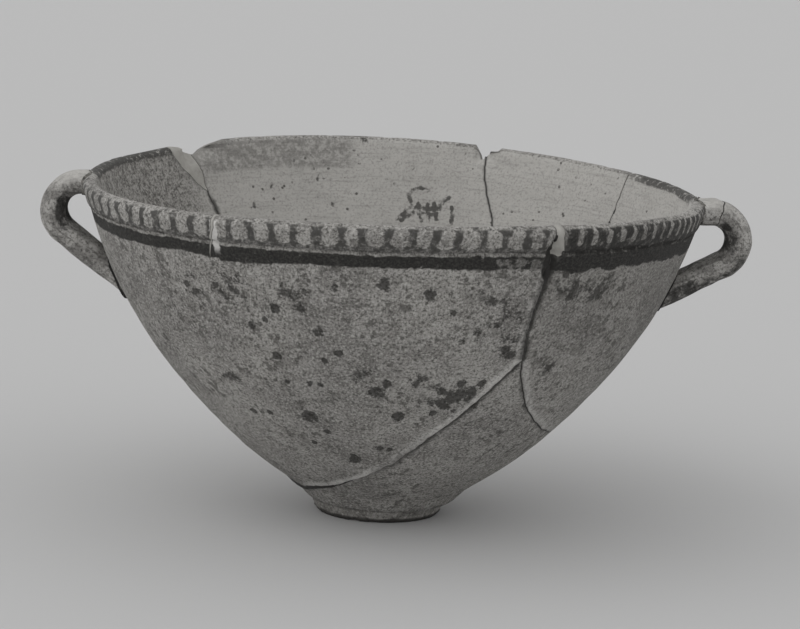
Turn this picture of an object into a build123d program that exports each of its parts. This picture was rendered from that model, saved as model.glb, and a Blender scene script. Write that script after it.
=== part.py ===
from build123d import *
from math import ceil, cos, degrees, radians, sin
import os

os.makedirs("parts", exist_ok=True)

# A deep conical drinking cup with two strap handles at the rim, thrown on the wheel, broken into
# five sherds and stuck together again. Z is the cup's axis, X runs through both handles, and the
# origin is the middle of the foot's underside.

# Cup body, in millimetres
rim_radius = 100.0
cup_height = 107.6
lip_wall = 4.4
body_wall = 5.2
floor_wall = 6.6
collar_relief = 0.5
collar_height = 8.6
groove_width = 1.4

# Foot
foot_height = 4.5
foot_top_radius = 21.0
foot_base_radius = 20.3
foot_waist_radius = 19.9
foot_bevel = 1.0

# Handles
strap_width = 13.0
strap_thickness = 8.6
strap_bend_radius = 9.0
left_standout = 8.9
left_top_drop = 4.2
left_fall = 36.5
right_standout = 11.1
right_top_drop = 5.0
right_fall = 28.6
strap_embed = 9.0
mend_angle = 17
slip_thickness = 0.4
slip_spread = 0.5

# Repairs and damage
join_gap = 0.6
mend_gap = 0.5
crack_width = 1.0
chip_width = 2.8
chip_length = 11.0
chip_depth = 2.4
rear_left_notch_angle = 127.5
rear_left_notch_length = 24.0
rear_left_notch_depth = 4.8
rear_right_notch_angle = 68.2
rear_right_notch_length = 9.2
rear_right_notch_depth = 6.3
overrun = 10.0

# Points of the outer wall, as shares of the rim's radius and of the cup's height
wall_shares = ((0.232, 0.042), (0.449, 0.2), (0.683, 0.42), (0.87, 0.68), (1, 1))
foot_flare_shares = (1.25, 1)
lip_flare_shares = (0.33, 1)

# Inner wall: how far up the outer wall, and the thickness there as a share of the body's wall
inner_wall_shares = ((0.88, 0.86), (0.7, 0.96), (0.45, 1), (0.22, 1.1))
lip_start_share = 0.979

wall_line = Spline(
    *[(radius * rim_radius, height * cup_height) for radius, height in wall_shares],
    tangents=[foot_flare_shares, lip_flare_shares],
)
collar_share = 1 - collar_height / wall_line.length


def from_wall(share, depth=0.0):
    """Point a share of the way up the outer wall, and a depth inside it, square to the wall."""
    along = wall_line % share
    return wall_line @ share + Vector(-along.Y, along.X) * depth


lip_outside = from_wall(lip_start_share, -collar_relief)
lip_inside = from_wall(lip_start_share, lip_wall)
crest = Vector((lip_outside.X + lip_inside.X) / 2, cup_height)
floor_centre = (0, foot_height + floor_wall)
foot_seat = Vector((wall_line @ 0).X, foot_height)
body_line = wall_line.trim(0, collar_share)


def turned(point, angle):
    """A point of the profile, turned round the cup's axis by some degrees."""
    return Vector(point.X * cos(radians(angle)), point.X * sin(radians(angle)), point.Y)


def rim_notch(angle, length, depth, shares):
    """Cutter for a place where the rim is broken away: its outline, seen from outside the cup,
    in shares of its length along the rim and of its depth below the lip."""
    lip = turned(crest, angle)
    outward = Vector(lip.X, lip.Y)
    with BuildPart() as notch:
        with BuildSketch(Plane(origin=lip, x_dir=Vector(0, 0, 1).cross(outward), z_dir=outward)):
            with BuildLine():
                Polyline(
                    (0, overrun),
                    *[(along * length, -down * depth) for along, down in shares],
                    (length, overrun),
                    close=True,
                )
            make_face()
        extrude(amount=overrun, both=True)
    return notch.part


rear_left_notch = rim_notch(
    rear_left_notch_angle, rear_left_notch_length, rear_left_notch_depth,
    ((0, 0), (0.3, 0.4), (0.52, 1), (0.64, 0.9), (0.8, 0.6), (0.84, 0.2), (1, 0)),
)
rear_right_notch = rim_notch(
    rear_right_notch_angle, rear_right_notch_length, rear_right_notch_depth,
    ((0, 0.05), (0.08, 0.3), (0.35, 0.42), (0.58, 0.72), (0.7, 1), (0.88, 0.42), (1, 0)),
)

# The whole wall as it left the wheel: one turned profile with a low collar, a groove under it and
# a round lip. The two places where the rim is missing are cut before it is divided into sherds.
with BuildPart() as bowl:
    with BuildSketch(Plane.XZ):
        with BuildLine():
            add(body_line)
            Polyline(body_line @ 1, from_wall(collar_share, -collar_relief), lip_outside)
            ThreePointArc(lip_outside, crest, lip_inside)
            Spline(
                lip_inside,
                *[from_wall(share, wall * body_wall) for share, wall in inner_wall_shares],
                floor_centre,
                tangents=[-(wall_line % lip_start_share), (-1, 0)],
            )
            Polyline(floor_centre, (0, foot_height), foot_seat, wall_line @ 0)
        make_face()
        with Locations(from_wall(collar_share)):
            Circle(groove_width / 2, mode=Mode.SUBTRACT)
    revolve(axis=Axis.Z)
    add([rear_left_notch, rear_right_notch], mode=Mode.SUBTRACT)

# Where breaks reach the rim, in degrees round the axis from the right handle
front_rim_angle = -60.3
inner_right_rim_angle = 35
rear_right_rim_angle = 71.5
fill_right_rim_angle = 136.9
fill_left_rim_angle = 142.8
crack_rim_angle = -122.4
splinter_rim_angle = -58.7

# Where breaks meet: degrees round the axis, and a share up the outer wall
front_junction_shares = (-59.7, 0.645)
right_junction_shares = (36, 0.35)
rear_junction_shares = (64, 0.42)
left_junction_shares = (128, 0.27)
fill_tip_shares = (134.6, 0.862)

# Break lines, from the rim or a junction to the junction where they end
front_break_shares = (
    (front_rim_angle, 1), (-60.2, 0.97), (-59.5, 0.9), (-60.4, 0.85), (-61, 0.76), (-60.8, 0.71),
    front_junction_shares,
)
lower_right_break_shares = (
    front_junction_shares, (-58.1, 0.593), (-55, 0.535), (-50.7, 0.476), (-43.5, 0.42), (-33.5, 0.367),
    (-20, 0.33), (0, 0.31), (20, 0.315), right_junction_shares,
)
rear_corner_break_shares = (right_junction_shares, (50, 0.365), rear_junction_shares)
lower_rear_break_shares = (rear_junction_shares, (84, 0.37), (106, 0.3), left_junction_shares)
diagonal_break_shares = (
    left_junction_shares, (150, 0.18), (172, 0.1), (192, 0.062), (212.4, 0.055), (241.5, 0.108),
    (255.7, 0.158), (265.7, 0.21), (274.6, 0.266), (282.5, 0.367), (289.9, 0.464), (295.4, 0.561),
    (298.4, 0.615), front_junction_shares,
)
fill_left_break_shares = (
    (fill_left_rim_angle, 1), (141.5, 0.955), (138.8, 0.911), (136.5, 0.883), fill_tip_shares,
)
fill_right_break_shares = ((fill_right_rim_angle, 1), (136, 0.945), (134.9, 0.9), fill_tip_shares)
rear_left_break_shares = (
    fill_tip_shares, (133.2, 0.81), (131.5, 0.7), (133, 0.55), (130, 0.4), left_junction_shares,
)
rear_right_break_shares = (
    (rear_right_rim_angle, 1), (70.9, 0.94), (70.4, 0.9), (69, 0.852), (67.1, 0.8), (65, 0.68),
    (66.5, 0.55), rear_junction_shares,
)
inner_right_break_shares = (
    (inner_right_rim_angle, 1), (35.5, 0.91), (36.5, 0.8), (34.5, 0.66), (37, 0.5), right_junction_shares,
)
splinter_break_shares = (
    (splinter_rim_angle, 1), (-57.5, 0.925), (-59.8, 0.925), (-60.2, 0.97), (front_rim_angle, 1),
)

# Every break face leans towards one point on the axis, high over the cup, so that it runs nearly
# square through the wall wherever it is
apex_share = 1.4
outside_share = 2
outside_step_angle = 60
apex_height = apex_share * cup_height


def break_line(shares):
    """The points of a break on the outer wall."""
    return [turned(wall_line @ share, angle) for angle, share in shares]


def beyond_rim(start, end):
    """From the lip where one break ends, round well outside it, to the lip where the next starts."""
    steps = ceil((end - start) / outside_step_angle)
    outside = crest + Vector(outside_share * rim_radius - crest.X, 0)
    angles = [start + (end - start) * step / steps for step in range(steps + 1)]
    return break_line([(start, 1)]) + [turned(outside, angle) for angle in angles] + break_line([(end, 1)])


def cast(point, height):
    """Where the line from the apex through a point meets a level plane."""
    reach = (apex_height - height) / (apex_height - point.Z)
    return Vector(point.X * reach, point.Y * reach)


def drawn_in(points, inset):
    """Corners of a closed outline that runs anticlockwise, each edge moved in by an inset."""
    corners = []
    for before, corner, after in zip(points[-1:] + points[:-1], points, points[1:] + points[:1]):
        into = (corner - before).normalized().rotate(Axis.Z, 90)
        out_of = (after - corner).normalized().rotate(Axis.Z, 90)
        corners.append(corner + (into + out_of) * (inset / (1 + into.dot(out_of))))
    return corners


def broken_block(lines, inset):
    """Solid between the break faces of some lines that form a closed loop, drawn in by an inset.
    Each line ends where the next begins."""
    points = [point for line in lines for point in line[:-1]]
    with BuildPart() as block:
        for height in (-overrun, cup_height + overrun):
            with BuildSketch(Plane.XY.offset(height)):
                with BuildLine():
                    Polyline(*drawn_in([cast(point, height) for point in points], inset), close=True)
                make_face()
        loft(ruled=True)
    return block.part


front = break_line(front_break_shares)
lower_right = break_line(lower_right_break_shares)
rear_corner = break_line(rear_corner_break_shares)
lower_rear = break_line(lower_rear_break_shares)
diagonal = break_line(diagonal_break_shares)
fill_left = break_line(fill_left_break_shares)
fill_right = break_line(fill_right_break_shares)
rear_left = break_line(rear_left_break_shares)
rear_right = break_line(rear_right_break_shares)
inner_right = break_line(inner_right_break_shares)

base_loop = (lower_right, rear_corner, lower_rear, diagonal)
sherd_loops = {
    "base_sherd": base_loop,
    "left_sherd": (
        front, diagonal[::-1], rear_left[::-1], fill_left[::-1],
        beyond_rim(fill_left_rim_angle, 360 + front_rim_angle),
    ),
    "rear_left_fill": (fill_left, fill_right[::-1], beyond_rim(fill_right_rim_angle, fill_left_rim_angle)),
    "rear_centre_sherd": (
        fill_right, rear_left, lower_rear[::-1], rear_right[::-1],
        beyond_rim(rear_right_rim_angle, fill_right_rim_angle),
    ),
    "rear_right_sherd": (
        rear_right, rear_corner[::-1], inner_right[::-1],
        beyond_rim(inner_right_rim_angle, rear_right_rim_angle),
    ),
    "right_sherd": (
        inner_right, lower_right[::-1], front[::-1], beyond_rim(front_rim_angle, inner_right_rim_angle),
    ),
}


# The sherds, and the plaster that stands in for one that is lost
blocks = {name: broken_block(loop, join_gap / 2) for name, loop in sherd_loops.items()}
base_and_joins_block = broken_block(base_loop, -join_gap / 2)

# A splinter of the collar beside the front break is lost and filled with plaster
splinter_block = broken_block(
    (break_line(splinter_break_shares), beyond_rim(front_rim_angle, splinter_rim_angle)), 0,
)

# A crack that runs down from the rim at the left front and dies out in the clay, filled flush:
# degrees round the axis, share up the wall, and share of the crack's width on each side
crack_shares = ((crack_rim_angle, 1, 0.5), (-123.5, 0.95, 0.33), (-124.6, 0.885, 0))
crack_angle = degrees(crack_width / rim_radius)
crack_left = break_line([(angle - side * crack_angle, up) for angle, up, side in crack_shares])
crack_right = break_line([(angle + side * crack_angle, up) for angle, up, side in crack_shares])
crack_mouth_angle = crack_shares[0][2] * crack_angle
crack_block = broken_block(
    (
        crack_right, crack_left[::-1],
        beyond_rim(crack_rim_angle - crack_mouth_angle, crack_rim_angle + crack_mouth_angle),
    ), 0,
)

# A spall along the front break, left open: its outline on the wall, in shares of its length and width
spall_angle = -59.6
spall_share = 0.912
spall_shares = ((-0.5, 0), (-0.2, 0.4), (0.15, 0.5), (0.5, 0.1), (0.3, -0.35), (-0.15, -0.5))
spall_floor_share = 0.45
spall_centre = turned(wall_line @ spall_share, spall_angle)
spall_upward = turned(wall_line % spall_share, spall_angle)
spall_outward = Vector(0, 0, 1).cross(spall_centre).cross(spall_upward)
spall_plane = Plane(origin=spall_centre, x_dir=spall_upward, z_dir=spall_outward)
with BuildPart() as spall:
    for depth, spread in ((-chip_depth, spall_floor_share), (chip_depth, 2 - spall_floor_share)):
        with BuildSketch(spall_plane.offset(depth)):
            with BuildLine():
                length, width = chip_length * spread, chip_width * spread
                Polyline(*[(up * length, across * width) for up, across in spall_shares], close=True)
            make_face()
    loft(ruled=True)

extra_cuts = {"left_sherd": [crack_block, spall.part], "right_sherd": [splinter_block, spall.part]}
for name, block in blocks.items():
    with BuildPart() as sherd:
        add(bowl.part)
        add(block, mode=Mode.INTERSECT)
        add(extra_cuts.get(name, []), mode=Mode.SUBTRACT)
    sherd.part.label = name
    export_step(sherd.part, f"parts/{name}.step")

with BuildPart() as collar_splinter_fill:
    add(bowl.part)
    add(blocks["right_sherd"], mode=Mode.INTERSECT)
    add(splinter_block, mode=Mode.INTERSECT)
    add(spall.part, mode=Mode.SUBTRACT)
collar_splinter_fill.part.label = "collar_splinter_fill"
export_step(collar_splinter_fill.part, "parts/collar_splinter_fill.step")

with BuildPart() as rim_crack_fill:
    add(bowl.part)
    add(crack_block, mode=Mode.INTERSECT)
rim_crack_fill.part.label = "rim_crack_fill"
export_step(rim_crack_fill.part, "parts/rim_crack_fill.step")

# Adhesive in the breaks that run down from the rim: what is left of the wall between the sherds
with BuildPart() as upright_joins:
    add(bowl.part)
    add(base_and_joins_block, mode=Mode.SUBTRACT)
    add([block for name, block in blocks.items() if name != "base_sherd"], mode=Mode.SUBTRACT)
    add(spall.part, mode=Mode.SUBTRACT)
upright_join_angles = {
    "front_join": front_rim_angle, "inner_right_join": inner_right_rim_angle,
    "rear_right_join": rear_junction_shares[0], "rear_left_join": fill_tip_shares[0],
}
upright_share = 0.75
for name, angle in upright_join_angles.items():
    join = upright_joins.part.solids().sort_by_distance(turned(wall_line @ upright_share, angle))[0]
    join.label = name
    export_step(join, f"parts/{name}.step")

# Adhesive round the base sherd, one length of it under each of its neighbours
with BuildPart() as base_joins:
    add(bowl.part)
    add(base_and_joins_block, mode=Mode.INTERSECT)
    add(blocks["base_sherd"], mode=Mode.SUBTRACT)
base_join_ends = {
    "lower_right_join": (front_junction_shares, right_junction_shares),
    "rear_corner_join": (right_junction_shares, rear_junction_shares),
    "lower_rear_join": (rear_junction_shares, left_junction_shares),
    "diagonal_join": (left_junction_shares, front_junction_shares),
}
for name, ((start, _), (end, _)) in base_join_ends.items():
    with BuildPart() as sector:
        with BuildSketch(Plane.XY.offset(-overrun)):
            with BuildLine():
                corners = beyond_rim(start, end if end > start else end + 360)[1:-1]
                Polyline((0, 0), *[(corner.X, corner.Y) for corner in corners], close=True)
            make_face()
        extrude(amount=cup_height + 2 * overrun)
    with BuildPart() as join:
        add(base_joins.part)
        add(sector.part, mode=Mode.INTERSECT)
    join.part.label = name
    export_step(join.part, f"parts/{name}.step")

# The foot: a low disc, turned separately and luted under the bowl, a little waisted and worn at its edge
with BuildPart() as foot:
    with BuildSketch(Plane.XZ):
        with BuildLine():
            edge = Polyline((0, 0), (foot_base_radius - foot_bevel, 0), (foot_base_radius, foot_bevel))
            side = ThreePointArc(
                edge @ 1,
                (foot_waist_radius, (foot_height + foot_bevel) / 2),
                (foot_top_radius, foot_height),
            )
            Polyline(side @ 1, (0, foot_height), (0, 0))
        make_face()
    revolve(axis=Axis.Z)
foot.part.label = "foot"
export_step(foot.part, "parts/foot.step")

# Handle straps: they leave the rim level, bend back on themselves and run down into the wall.
# Each section is an oval: its place along the strap, and shares of the strap's width and thickness.
strap_section_shares = (
    (0, 1.5, 0.84), (0.107, 1.3, 0.84), (0.214, 1.05, 0.88), (0.357, 1, 0.98), (0.49, 1, 1),
    (0.64, 1, 1), (0.77, 1.06, 1.02), (0.87, 1.24, 1.08), (1, 1.4, 1.1),
)


grown_wall_shares = (0, 0.2, 0.4, 0.6, 0.8, collar_share)
outer_lip_share = 0.55


def cup_outside(growth):
    """The cup with its hollow filled in, grown by a thickness: what a strap is cut to fit."""
    relief = collar_relief + growth
    with BuildPart() as filled:
        with BuildSketch(Plane.YZ):
            with BuildLine():
                if growth:
                    side = Spline(*[from_wall(share, -growth) for share in grown_wall_shares])
                else:
                    side = add(body_line).edge()
                collar = Polyline(
                    side @ 1, from_wall(collar_share, -relief), from_wall(lip_start_share, -relief),
                )
                inside = from_wall(lip_start_share, lip_wall + growth)
                round_lip = ThreePointArc(collar @ 1, crest + Vector(0, growth), inside, mode=Mode.PRIVATE)
                outer_lip = add(round_lip.trim(0, outer_lip_share)).edge()
                top, seat = outer_lip @ 1, foot_seat + Vector(growth, -growth)
                Polyline(top, (0, top.Y), (0, seat.Y), seat, side @ 0)
            make_face()
        revolve(axis=Axis.Z)
    return filled.part


def strap(standout, top_drop, fall, spread):
    """A strap on the +X side, run on into the wall at both ends, its section grown by a spread."""
    level = cup_height - top_drop
    with BuildLine() as centreline:
        top = Line((lip_inside.X, level), (rim_radius + standout - strap_bend_radius, level))
        bend = JernArc(top @ 1, top % 1, strap_bend_radius, fall - 180)
        ray = Line(bend @ 1, bend @ 1 + (bend % 1) * cup_height, mode=Mode.PRIVATE)
        meeting = ray.edge().intersect(wall_line.edge())[0]
        Line(bend @ 1, meeting.center() + (bend % 1) * strap_embed)
    path = centreline.wire()
    with BuildPart() as body:
        for place, width, thickness in strap_section_shares:
            origin, along = turned(path @ place, 0), turned(path % place, 0)
            with BuildSketch(Plane(origin=origin, x_dir=(0, 1, 0), z_dir=along)):
                Ellipse(width * strap_width / 2 + spread, thickness * strap_thickness / 2 + spread)
        loft()
    return body.part


bare_cup = cup_outside(0)
slipped_cup = cup_outside(slip_thickness)

# The cup cuts each strap off at the wall, and a shaving may stay behind in the groove: the largest
# solid is the handle
with BuildPart() as left_handle:
    add(strap(left_standout, left_top_drop, left_fall, 0))
    add(slipped_cup, mode=Mode.SUBTRACT)
    add(left_handle.solids().sort_by(SortBy.VOLUME)[-1], mode=Mode.REPLACE)
    mirror(about=Plane.YZ, mode=Mode.REPLACE)
left_handle.part.label = "left_handle"
export_step(left_handle.part, "parts/left_handle.step")

# The right handle was broken across the top of its bend and stuck together again
right_bend = Vector(rim_radius + right_standout, cup_height - right_top_drop)
right_bend -= Vector(strap_bend_radius, strap_bend_radius)
mend_reach = 2 * strap_bend_radius


def mend_block(growth):
    """The space round the handle's root: through the eye of the handle, then out along the mend."""
    with BuildPart() as block:
        with BuildSketch(Plane.XZ):
            with BuildLine():
                Polyline(
                    right_bend,
                    right_bend + Vector(sin(radians(mend_angle)), cos(radians(mend_angle))) * mend_reach,
                    (lip_inside.X, right_bend.Y + mend_reach),
                    (lip_inside.X, right_bend.Y),
                    close=True,
                )
            make_face()
            offset(amount=growth, kind=Kind.INTERSECTION)
        extrude(amount=strap_width, both=True)
    return block.part


mend_inside = mend_block(-mend_gap / 2)
mend_outside = mend_block(mend_gap / 2)
with BuildPart() as right_handle:
    add(strap(right_standout, right_top_drop, right_fall, 0))
    add(slipped_cup, mode=Mode.SUBTRACT)
    add(right_handle.solids().sort_by(SortBy.VOLUME)[-1], mode=Mode.REPLACE)
with BuildPart() as right_handle_root:
    add(right_handle.part)
    add(mend_inside, mode=Mode.INTERSECT)
right_handle_root.part.label = "right_handle_root"
export_step(right_handle_root.part, "parts/right_handle_root.step")

with BuildPart() as right_handle_loop:
    add(right_handle.part)
    add(mend_outside, mode=Mode.SUBTRACT)
right_handle_loop.part.label = "right_handle_loop"
export_step(right_handle_loop.part, "parts/right_handle_loop.step")

with BuildPart() as right_handle_join:
    add(right_handle.part)
    add(mend_outside, mode=Mode.INTERSECT)
    add(mend_inside, mode=Mode.SUBTRACT)
right_handle_join.part.label = "right_handle_join"
export_step(right_handle_join.part, "parts/right_handle_join.step")

# Slip between the straps and the wall, pressed out a little all round the roots: one bed at the
# rim and one on the wall, the two large solids of what the cup leaves
for side, standout, top_drop, fall in (
    ("left", left_standout, left_top_drop, left_fall),
    ("right", right_standout, right_top_drop, right_fall),
):
    with BuildPart() as slip:
        add(strap(standout, top_drop, fall, slip_spread))
        add(slipped_cup, mode=Mode.INTERSECT)
        add(bare_cup, mode=Mode.SUBTRACT)
        if side == "left":
            mirror(about=Plane.YZ, mode=Mode.REPLACE)
    beds = slip.part.solids().sort_by(SortBy.VOLUME)[-2:]
    for end, bed in zip(("wall", "rim"), beds.sort_by(Axis.Z)):
        bed.label = f"{side}_handle_{end}_slip"
        export_step(bed, f"parts/{side}_handle_{end}_slip.step")
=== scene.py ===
import bpy
from functools import partial
from math import cos, degrees, pi, radians, sin
import numpy as np
from mathutils import Matrix, Vector, geometry, kdtree


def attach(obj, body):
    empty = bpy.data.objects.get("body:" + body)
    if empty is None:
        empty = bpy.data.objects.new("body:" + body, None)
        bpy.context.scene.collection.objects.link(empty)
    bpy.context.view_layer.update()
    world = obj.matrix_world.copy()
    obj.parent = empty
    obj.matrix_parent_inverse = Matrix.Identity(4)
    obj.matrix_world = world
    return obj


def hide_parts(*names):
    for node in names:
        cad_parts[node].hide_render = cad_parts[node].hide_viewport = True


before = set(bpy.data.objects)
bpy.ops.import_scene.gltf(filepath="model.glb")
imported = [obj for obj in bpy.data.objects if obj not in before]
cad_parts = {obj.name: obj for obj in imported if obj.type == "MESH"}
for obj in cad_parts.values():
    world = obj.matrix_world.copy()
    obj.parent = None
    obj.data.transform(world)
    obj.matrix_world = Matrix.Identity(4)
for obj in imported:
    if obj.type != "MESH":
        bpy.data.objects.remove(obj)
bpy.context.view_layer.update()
bpy.context.scene.view_settings.view_transform = "Standard"

# The viewer stands a little over a metre in front of the cup, looking slightly down into it. The
# camera hangs a touch crooked, as in the picture.
camera_distance, camera_lift, camera_roll = 1.2, radians(10.35), radians(2.6)
camera_aim = Vector((0.003745, 0, 0.06455))
focal_pixels, image_width, sensor_width = 3717.6, 800, 36
towards = Vector((0, cos(camera_lift), -sin(camera_lift)))
level_up = Vector((0, sin(camera_lift), cos(camera_lift)))
camera_right = Vector((cos(camera_roll), 0, 0)) + sin(camera_roll) * level_up
camera_up = cos(camera_roll) * level_up - Vector((sin(camera_roll), 0, 0))
camera_data = bpy.data.cameras.new("camera")
camera_data.sensor_width = sensor_width
camera_data.lens = focal_pixels * sensor_width / image_width
camera_data.clip_start, camera_data.clip_end = 0.05, 30
camera = bpy.data.objects.new("camera", camera_data)
camera.matrix_world = Matrix.Translation(camera_aim - camera_distance * towards) @ Matrix(
    (camera_right, camera_up, -towards)
).transposed().to_4x4()
bpy.context.collection.objects.link(camera)
bpy.context.scene.camera = camera

# The wall: grey clay thrown on the wheel as one cone, thick at the floor and thinning to a round
# lip, with a low collar that a groove sets off. The rim warped by a millimetre or so in drying.
# Lengths are in millimetres and are turned to metres when a mesh is made.
rim_radius, cup_height = 100.0, 107.6
collar_height, collar_relief, groove_depth, groove_width = 8.6, 0.5, 0.7, 0.5
wall_shares = ((0.232, 0.042), (0.449, 0.2), (0.683, 0.42), (0.87, 0.68), (1, 1))
inner_wall = ((0.88, 4.47), (0.7, 4.99), (0.45, 5.2), (0.22, 5.72))
lip_share, lip_wall, floor_level, seat_level = 0.979, 4.4, 11.1, 4.5


def smooth_line(points, start_way, end_way, count=3000):
    """Points along the smooth curve through some points, with a direction given at each end."""
    points = np.array(points, float)
    gaps = np.linalg.norm(np.diff(points, axis=0), axis=1)
    size = len(points)
    system, sides = np.zeros((size, size)), np.zeros((size, 2))
    system[0, 0] = system[-1, -1] = 1
    sides[0] = np.array(start_way) / np.linalg.norm(start_way)
    sides[-1] = np.array(end_way) / np.linalg.norm(end_way)
    for i in range(1, size - 1):
        before, after = gaps[i - 1], gaps[i]
        system[i, i - 1 : i + 2] = after, 2 * (before + after), before
        step_before, step_after = points[i] - points[i - 1], points[i + 1] - points[i]
        sides[i] = 3 * (after * step_before / before + before * step_after / after)
    slopes = np.linalg.solve(system, sides)
    ends = np.concatenate([[0], np.cumsum(gaps)])
    along = np.linspace(0, ends[-1], count)
    index = np.clip(np.searchsorted(ends, along, side="right") - 1, 0, size - 2)
    step = gaps[index][:, None]
    u = (along - ends[index])[:, None] / step
    return (
        (1 + 2 * u) * (1 - u) ** 2 * points[index]
        + u * (1 - u) ** 2 * step * slopes[index]
        + u**2 * (3 - 2 * u) * points[index + 1]
        + u**2 * (u - 1) * step * slopes[index + 1]
    )


def lengths_along(line):
    """How far along a line of points each of them is."""
    return np.concatenate([[0], np.cumsum(np.linalg.norm(np.diff(line, axis=0), axis=1))])


def ease(low, high, value):
    """0 below one value, 1 above another, and a soft step between them."""
    share = np.clip((value - low) / (high - low), 0, 1)
    return share * share * (3 - 2 * share)


outer_line = smooth_line([(r * rim_radius, z * cup_height) for r, z in wall_shares], (1.25, 1), (0.33, 1))
outer_along = lengths_along(outer_line)
wall_length = outer_along[-1]
seat_radius = outer_line[0, 0]
outer_ways = np.gradient(outer_line, axis=0)
outer_ways /= np.linalg.norm(outer_ways, axis=1)[:, None]


def on_line(line, along, where):
    """Points of a line at some distances along it."""
    return np.stack([np.interp(where, along, column) for column in line.T], axis=-1)


def from_wall(share, depth=0.0):
    """Point a share of the way up the outer wall, and a depth inside it, square to the wall."""
    where = share * wall_length
    radius_way, height_way = on_line(outer_ways, outer_along, where)
    return on_line(outer_line, outer_along, where) + depth * np.array((-height_way, radius_way))


lip_outside, lip_inside = from_wall(lip_share, -collar_relief), from_wall(lip_share, lip_wall)
crest = np.array(((lip_outside[0] + lip_inside[0]) / 2, cup_height))
inner_points = [lip_inside] + [from_wall(share, wall) for share, wall in inner_wall] + [(0, floor_level)]
inner_line = smooth_line(inner_points, -on_line(outer_ways, outer_along, lip_share * wall_length), (-1, 0))
inner_along = lengths_along(inner_line)
inner_ways = np.gradient(inner_line, axis=0)
inner_ways /= np.linalg.norm(inner_ways, axis=1)[:, None]

# The wall is drawn flat on a round map with the axis in its middle. A point's distance from the
# middle is its way from the axis, out under the floor and then up the outer wall.
lip_reach = seat_radius + lip_share * wall_length
inner_marks = [
    inner_along[np.argmin(np.linalg.norm(inner_line - from_wall(share, wall), axis=1))]
    for share, wall in inner_wall
]
map_marks = [0] + [seat_radius + share * wall_length for share, _ in inner_wall[::-1]] + [lip_reach]
inner_of_map = [inner_along[-1]] + inner_marks[::-1] + [0]


def outer_profile(reach):
    """Radius, height, and outward direction of the outer surface, for places on the map."""
    up = np.clip(reach - seat_radius, 0, None)
    point, way = on_line(outer_line, outer_along, up), on_line(outer_ways, outer_along, up)
    outward = np.stack([way[:, 1], -way[:, 0]], axis=1)
    under = reach < seat_radius
    point[under] = np.stack([reach[under], np.full(under.sum(), seat_level)], axis=1)
    outward[under] = (0, -1)
    from_groove = reach - (seat_radius + wall_length - collar_height)
    groove = groove_depth * np.exp(-((from_groove / groove_width) ** 2))
    relief = collar_relief * ease(0, 0.6, from_groove) - groove
    return point + relief[:, None] * outward, outward


def inner_profile(reach):
    """The same for the inner surface, across the wall from those places."""
    where = np.interp(reach, map_marks, inner_of_map)
    point, way = on_line(inner_line, inner_along, where), on_line(inner_ways, inner_along, where)
    return point, np.stack([way[:, 1], -way[:, 0]], axis=1)


def lip_profile(rows):
    """Points round the lip, from its outside over the crest to its inside."""
    (ax, ay), (bx, by), (cx, cy) = lip_outside, crest, lip_inside
    twice = 2 * (ax * (by - cy) + bx * (cy - ay) + cx * (ay - by))
    a, b, c = ax * ax + ay * ay, bx * bx + by * by, cx * cx + cy * cy
    centre = np.array((
        a * (by - cy) + b * (cy - ay) + c * (ay - by), a * (cx - bx) + b * (ax - cx) + c * (bx - ax),
    )) / twice
    first, last = lip_outside - centre, lip_inside - centre
    start, end = np.arctan2(first[1], first[0]), np.arctan2(last[1], last[0])
    angles = np.linspace(start, end, rows)
    return centre + np.linalg.norm(first) * np.stack([np.cos(angles), np.sin(angles)], axis=1)


# The warp: two rises and two falls round the rim, and one dip with its depth, direction and width
warp_level, warp_sine, warp_cosine = -0.05, 0.89, 1.39
dip_depth, dip_turn, dip_width = 0.9, 146, 14


def warped(angle, height):
    """How far the warp lifts a point of the wall."""
    lift = warp_level - warp_sine * np.sin(2 * angle) - warp_cosine * np.cos(2 * angle)
    lift -= dip_depth * np.exp(-(((np.degrees(angle) - dip_turn) / dip_width) ** 2))
    return lift * np.clip(height / cup_height, 0, 1) ** 2


def grain(points, size, seed=0):
    """Smooth noise between -1 and 1 at some points, its lumps about a size across."""
    cell = points / size + seed * 17.3
    corner = np.floor(cell).astype(np.int64)
    part = cell - corner
    part = part * part * (3 - 2 * part)
    total = np.zeros(len(points))
    for dx in (0, 1):
        for dy in (0, 1):
            for dz in (0, 1):
                x, y, z = corner[:, 0] + dx, corner[:, 1] + dy, corner[:, 2] + dz
                mixed = (x * 374761393 + y * 668265263 + z * 2147483647 + seed * 974711) & 0x7FFFFFFF
                mixed = ((mixed ^ (mixed >> 13)) * 1274126177) & 0x7FFFFFFF
                value = ((mixed ^ (mixed >> 16)) & 0xFFFF) / 32767.5 - 1
                weight = (
                    (part[:, 0] if dx else 1 - part[:, 0])
                    * (part[:, 1] if dy else 1 - part[:, 1])
                    * (part[:, 2] if dz else 1 - part[:, 2])
                )
                total += weight * value
    return total


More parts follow.
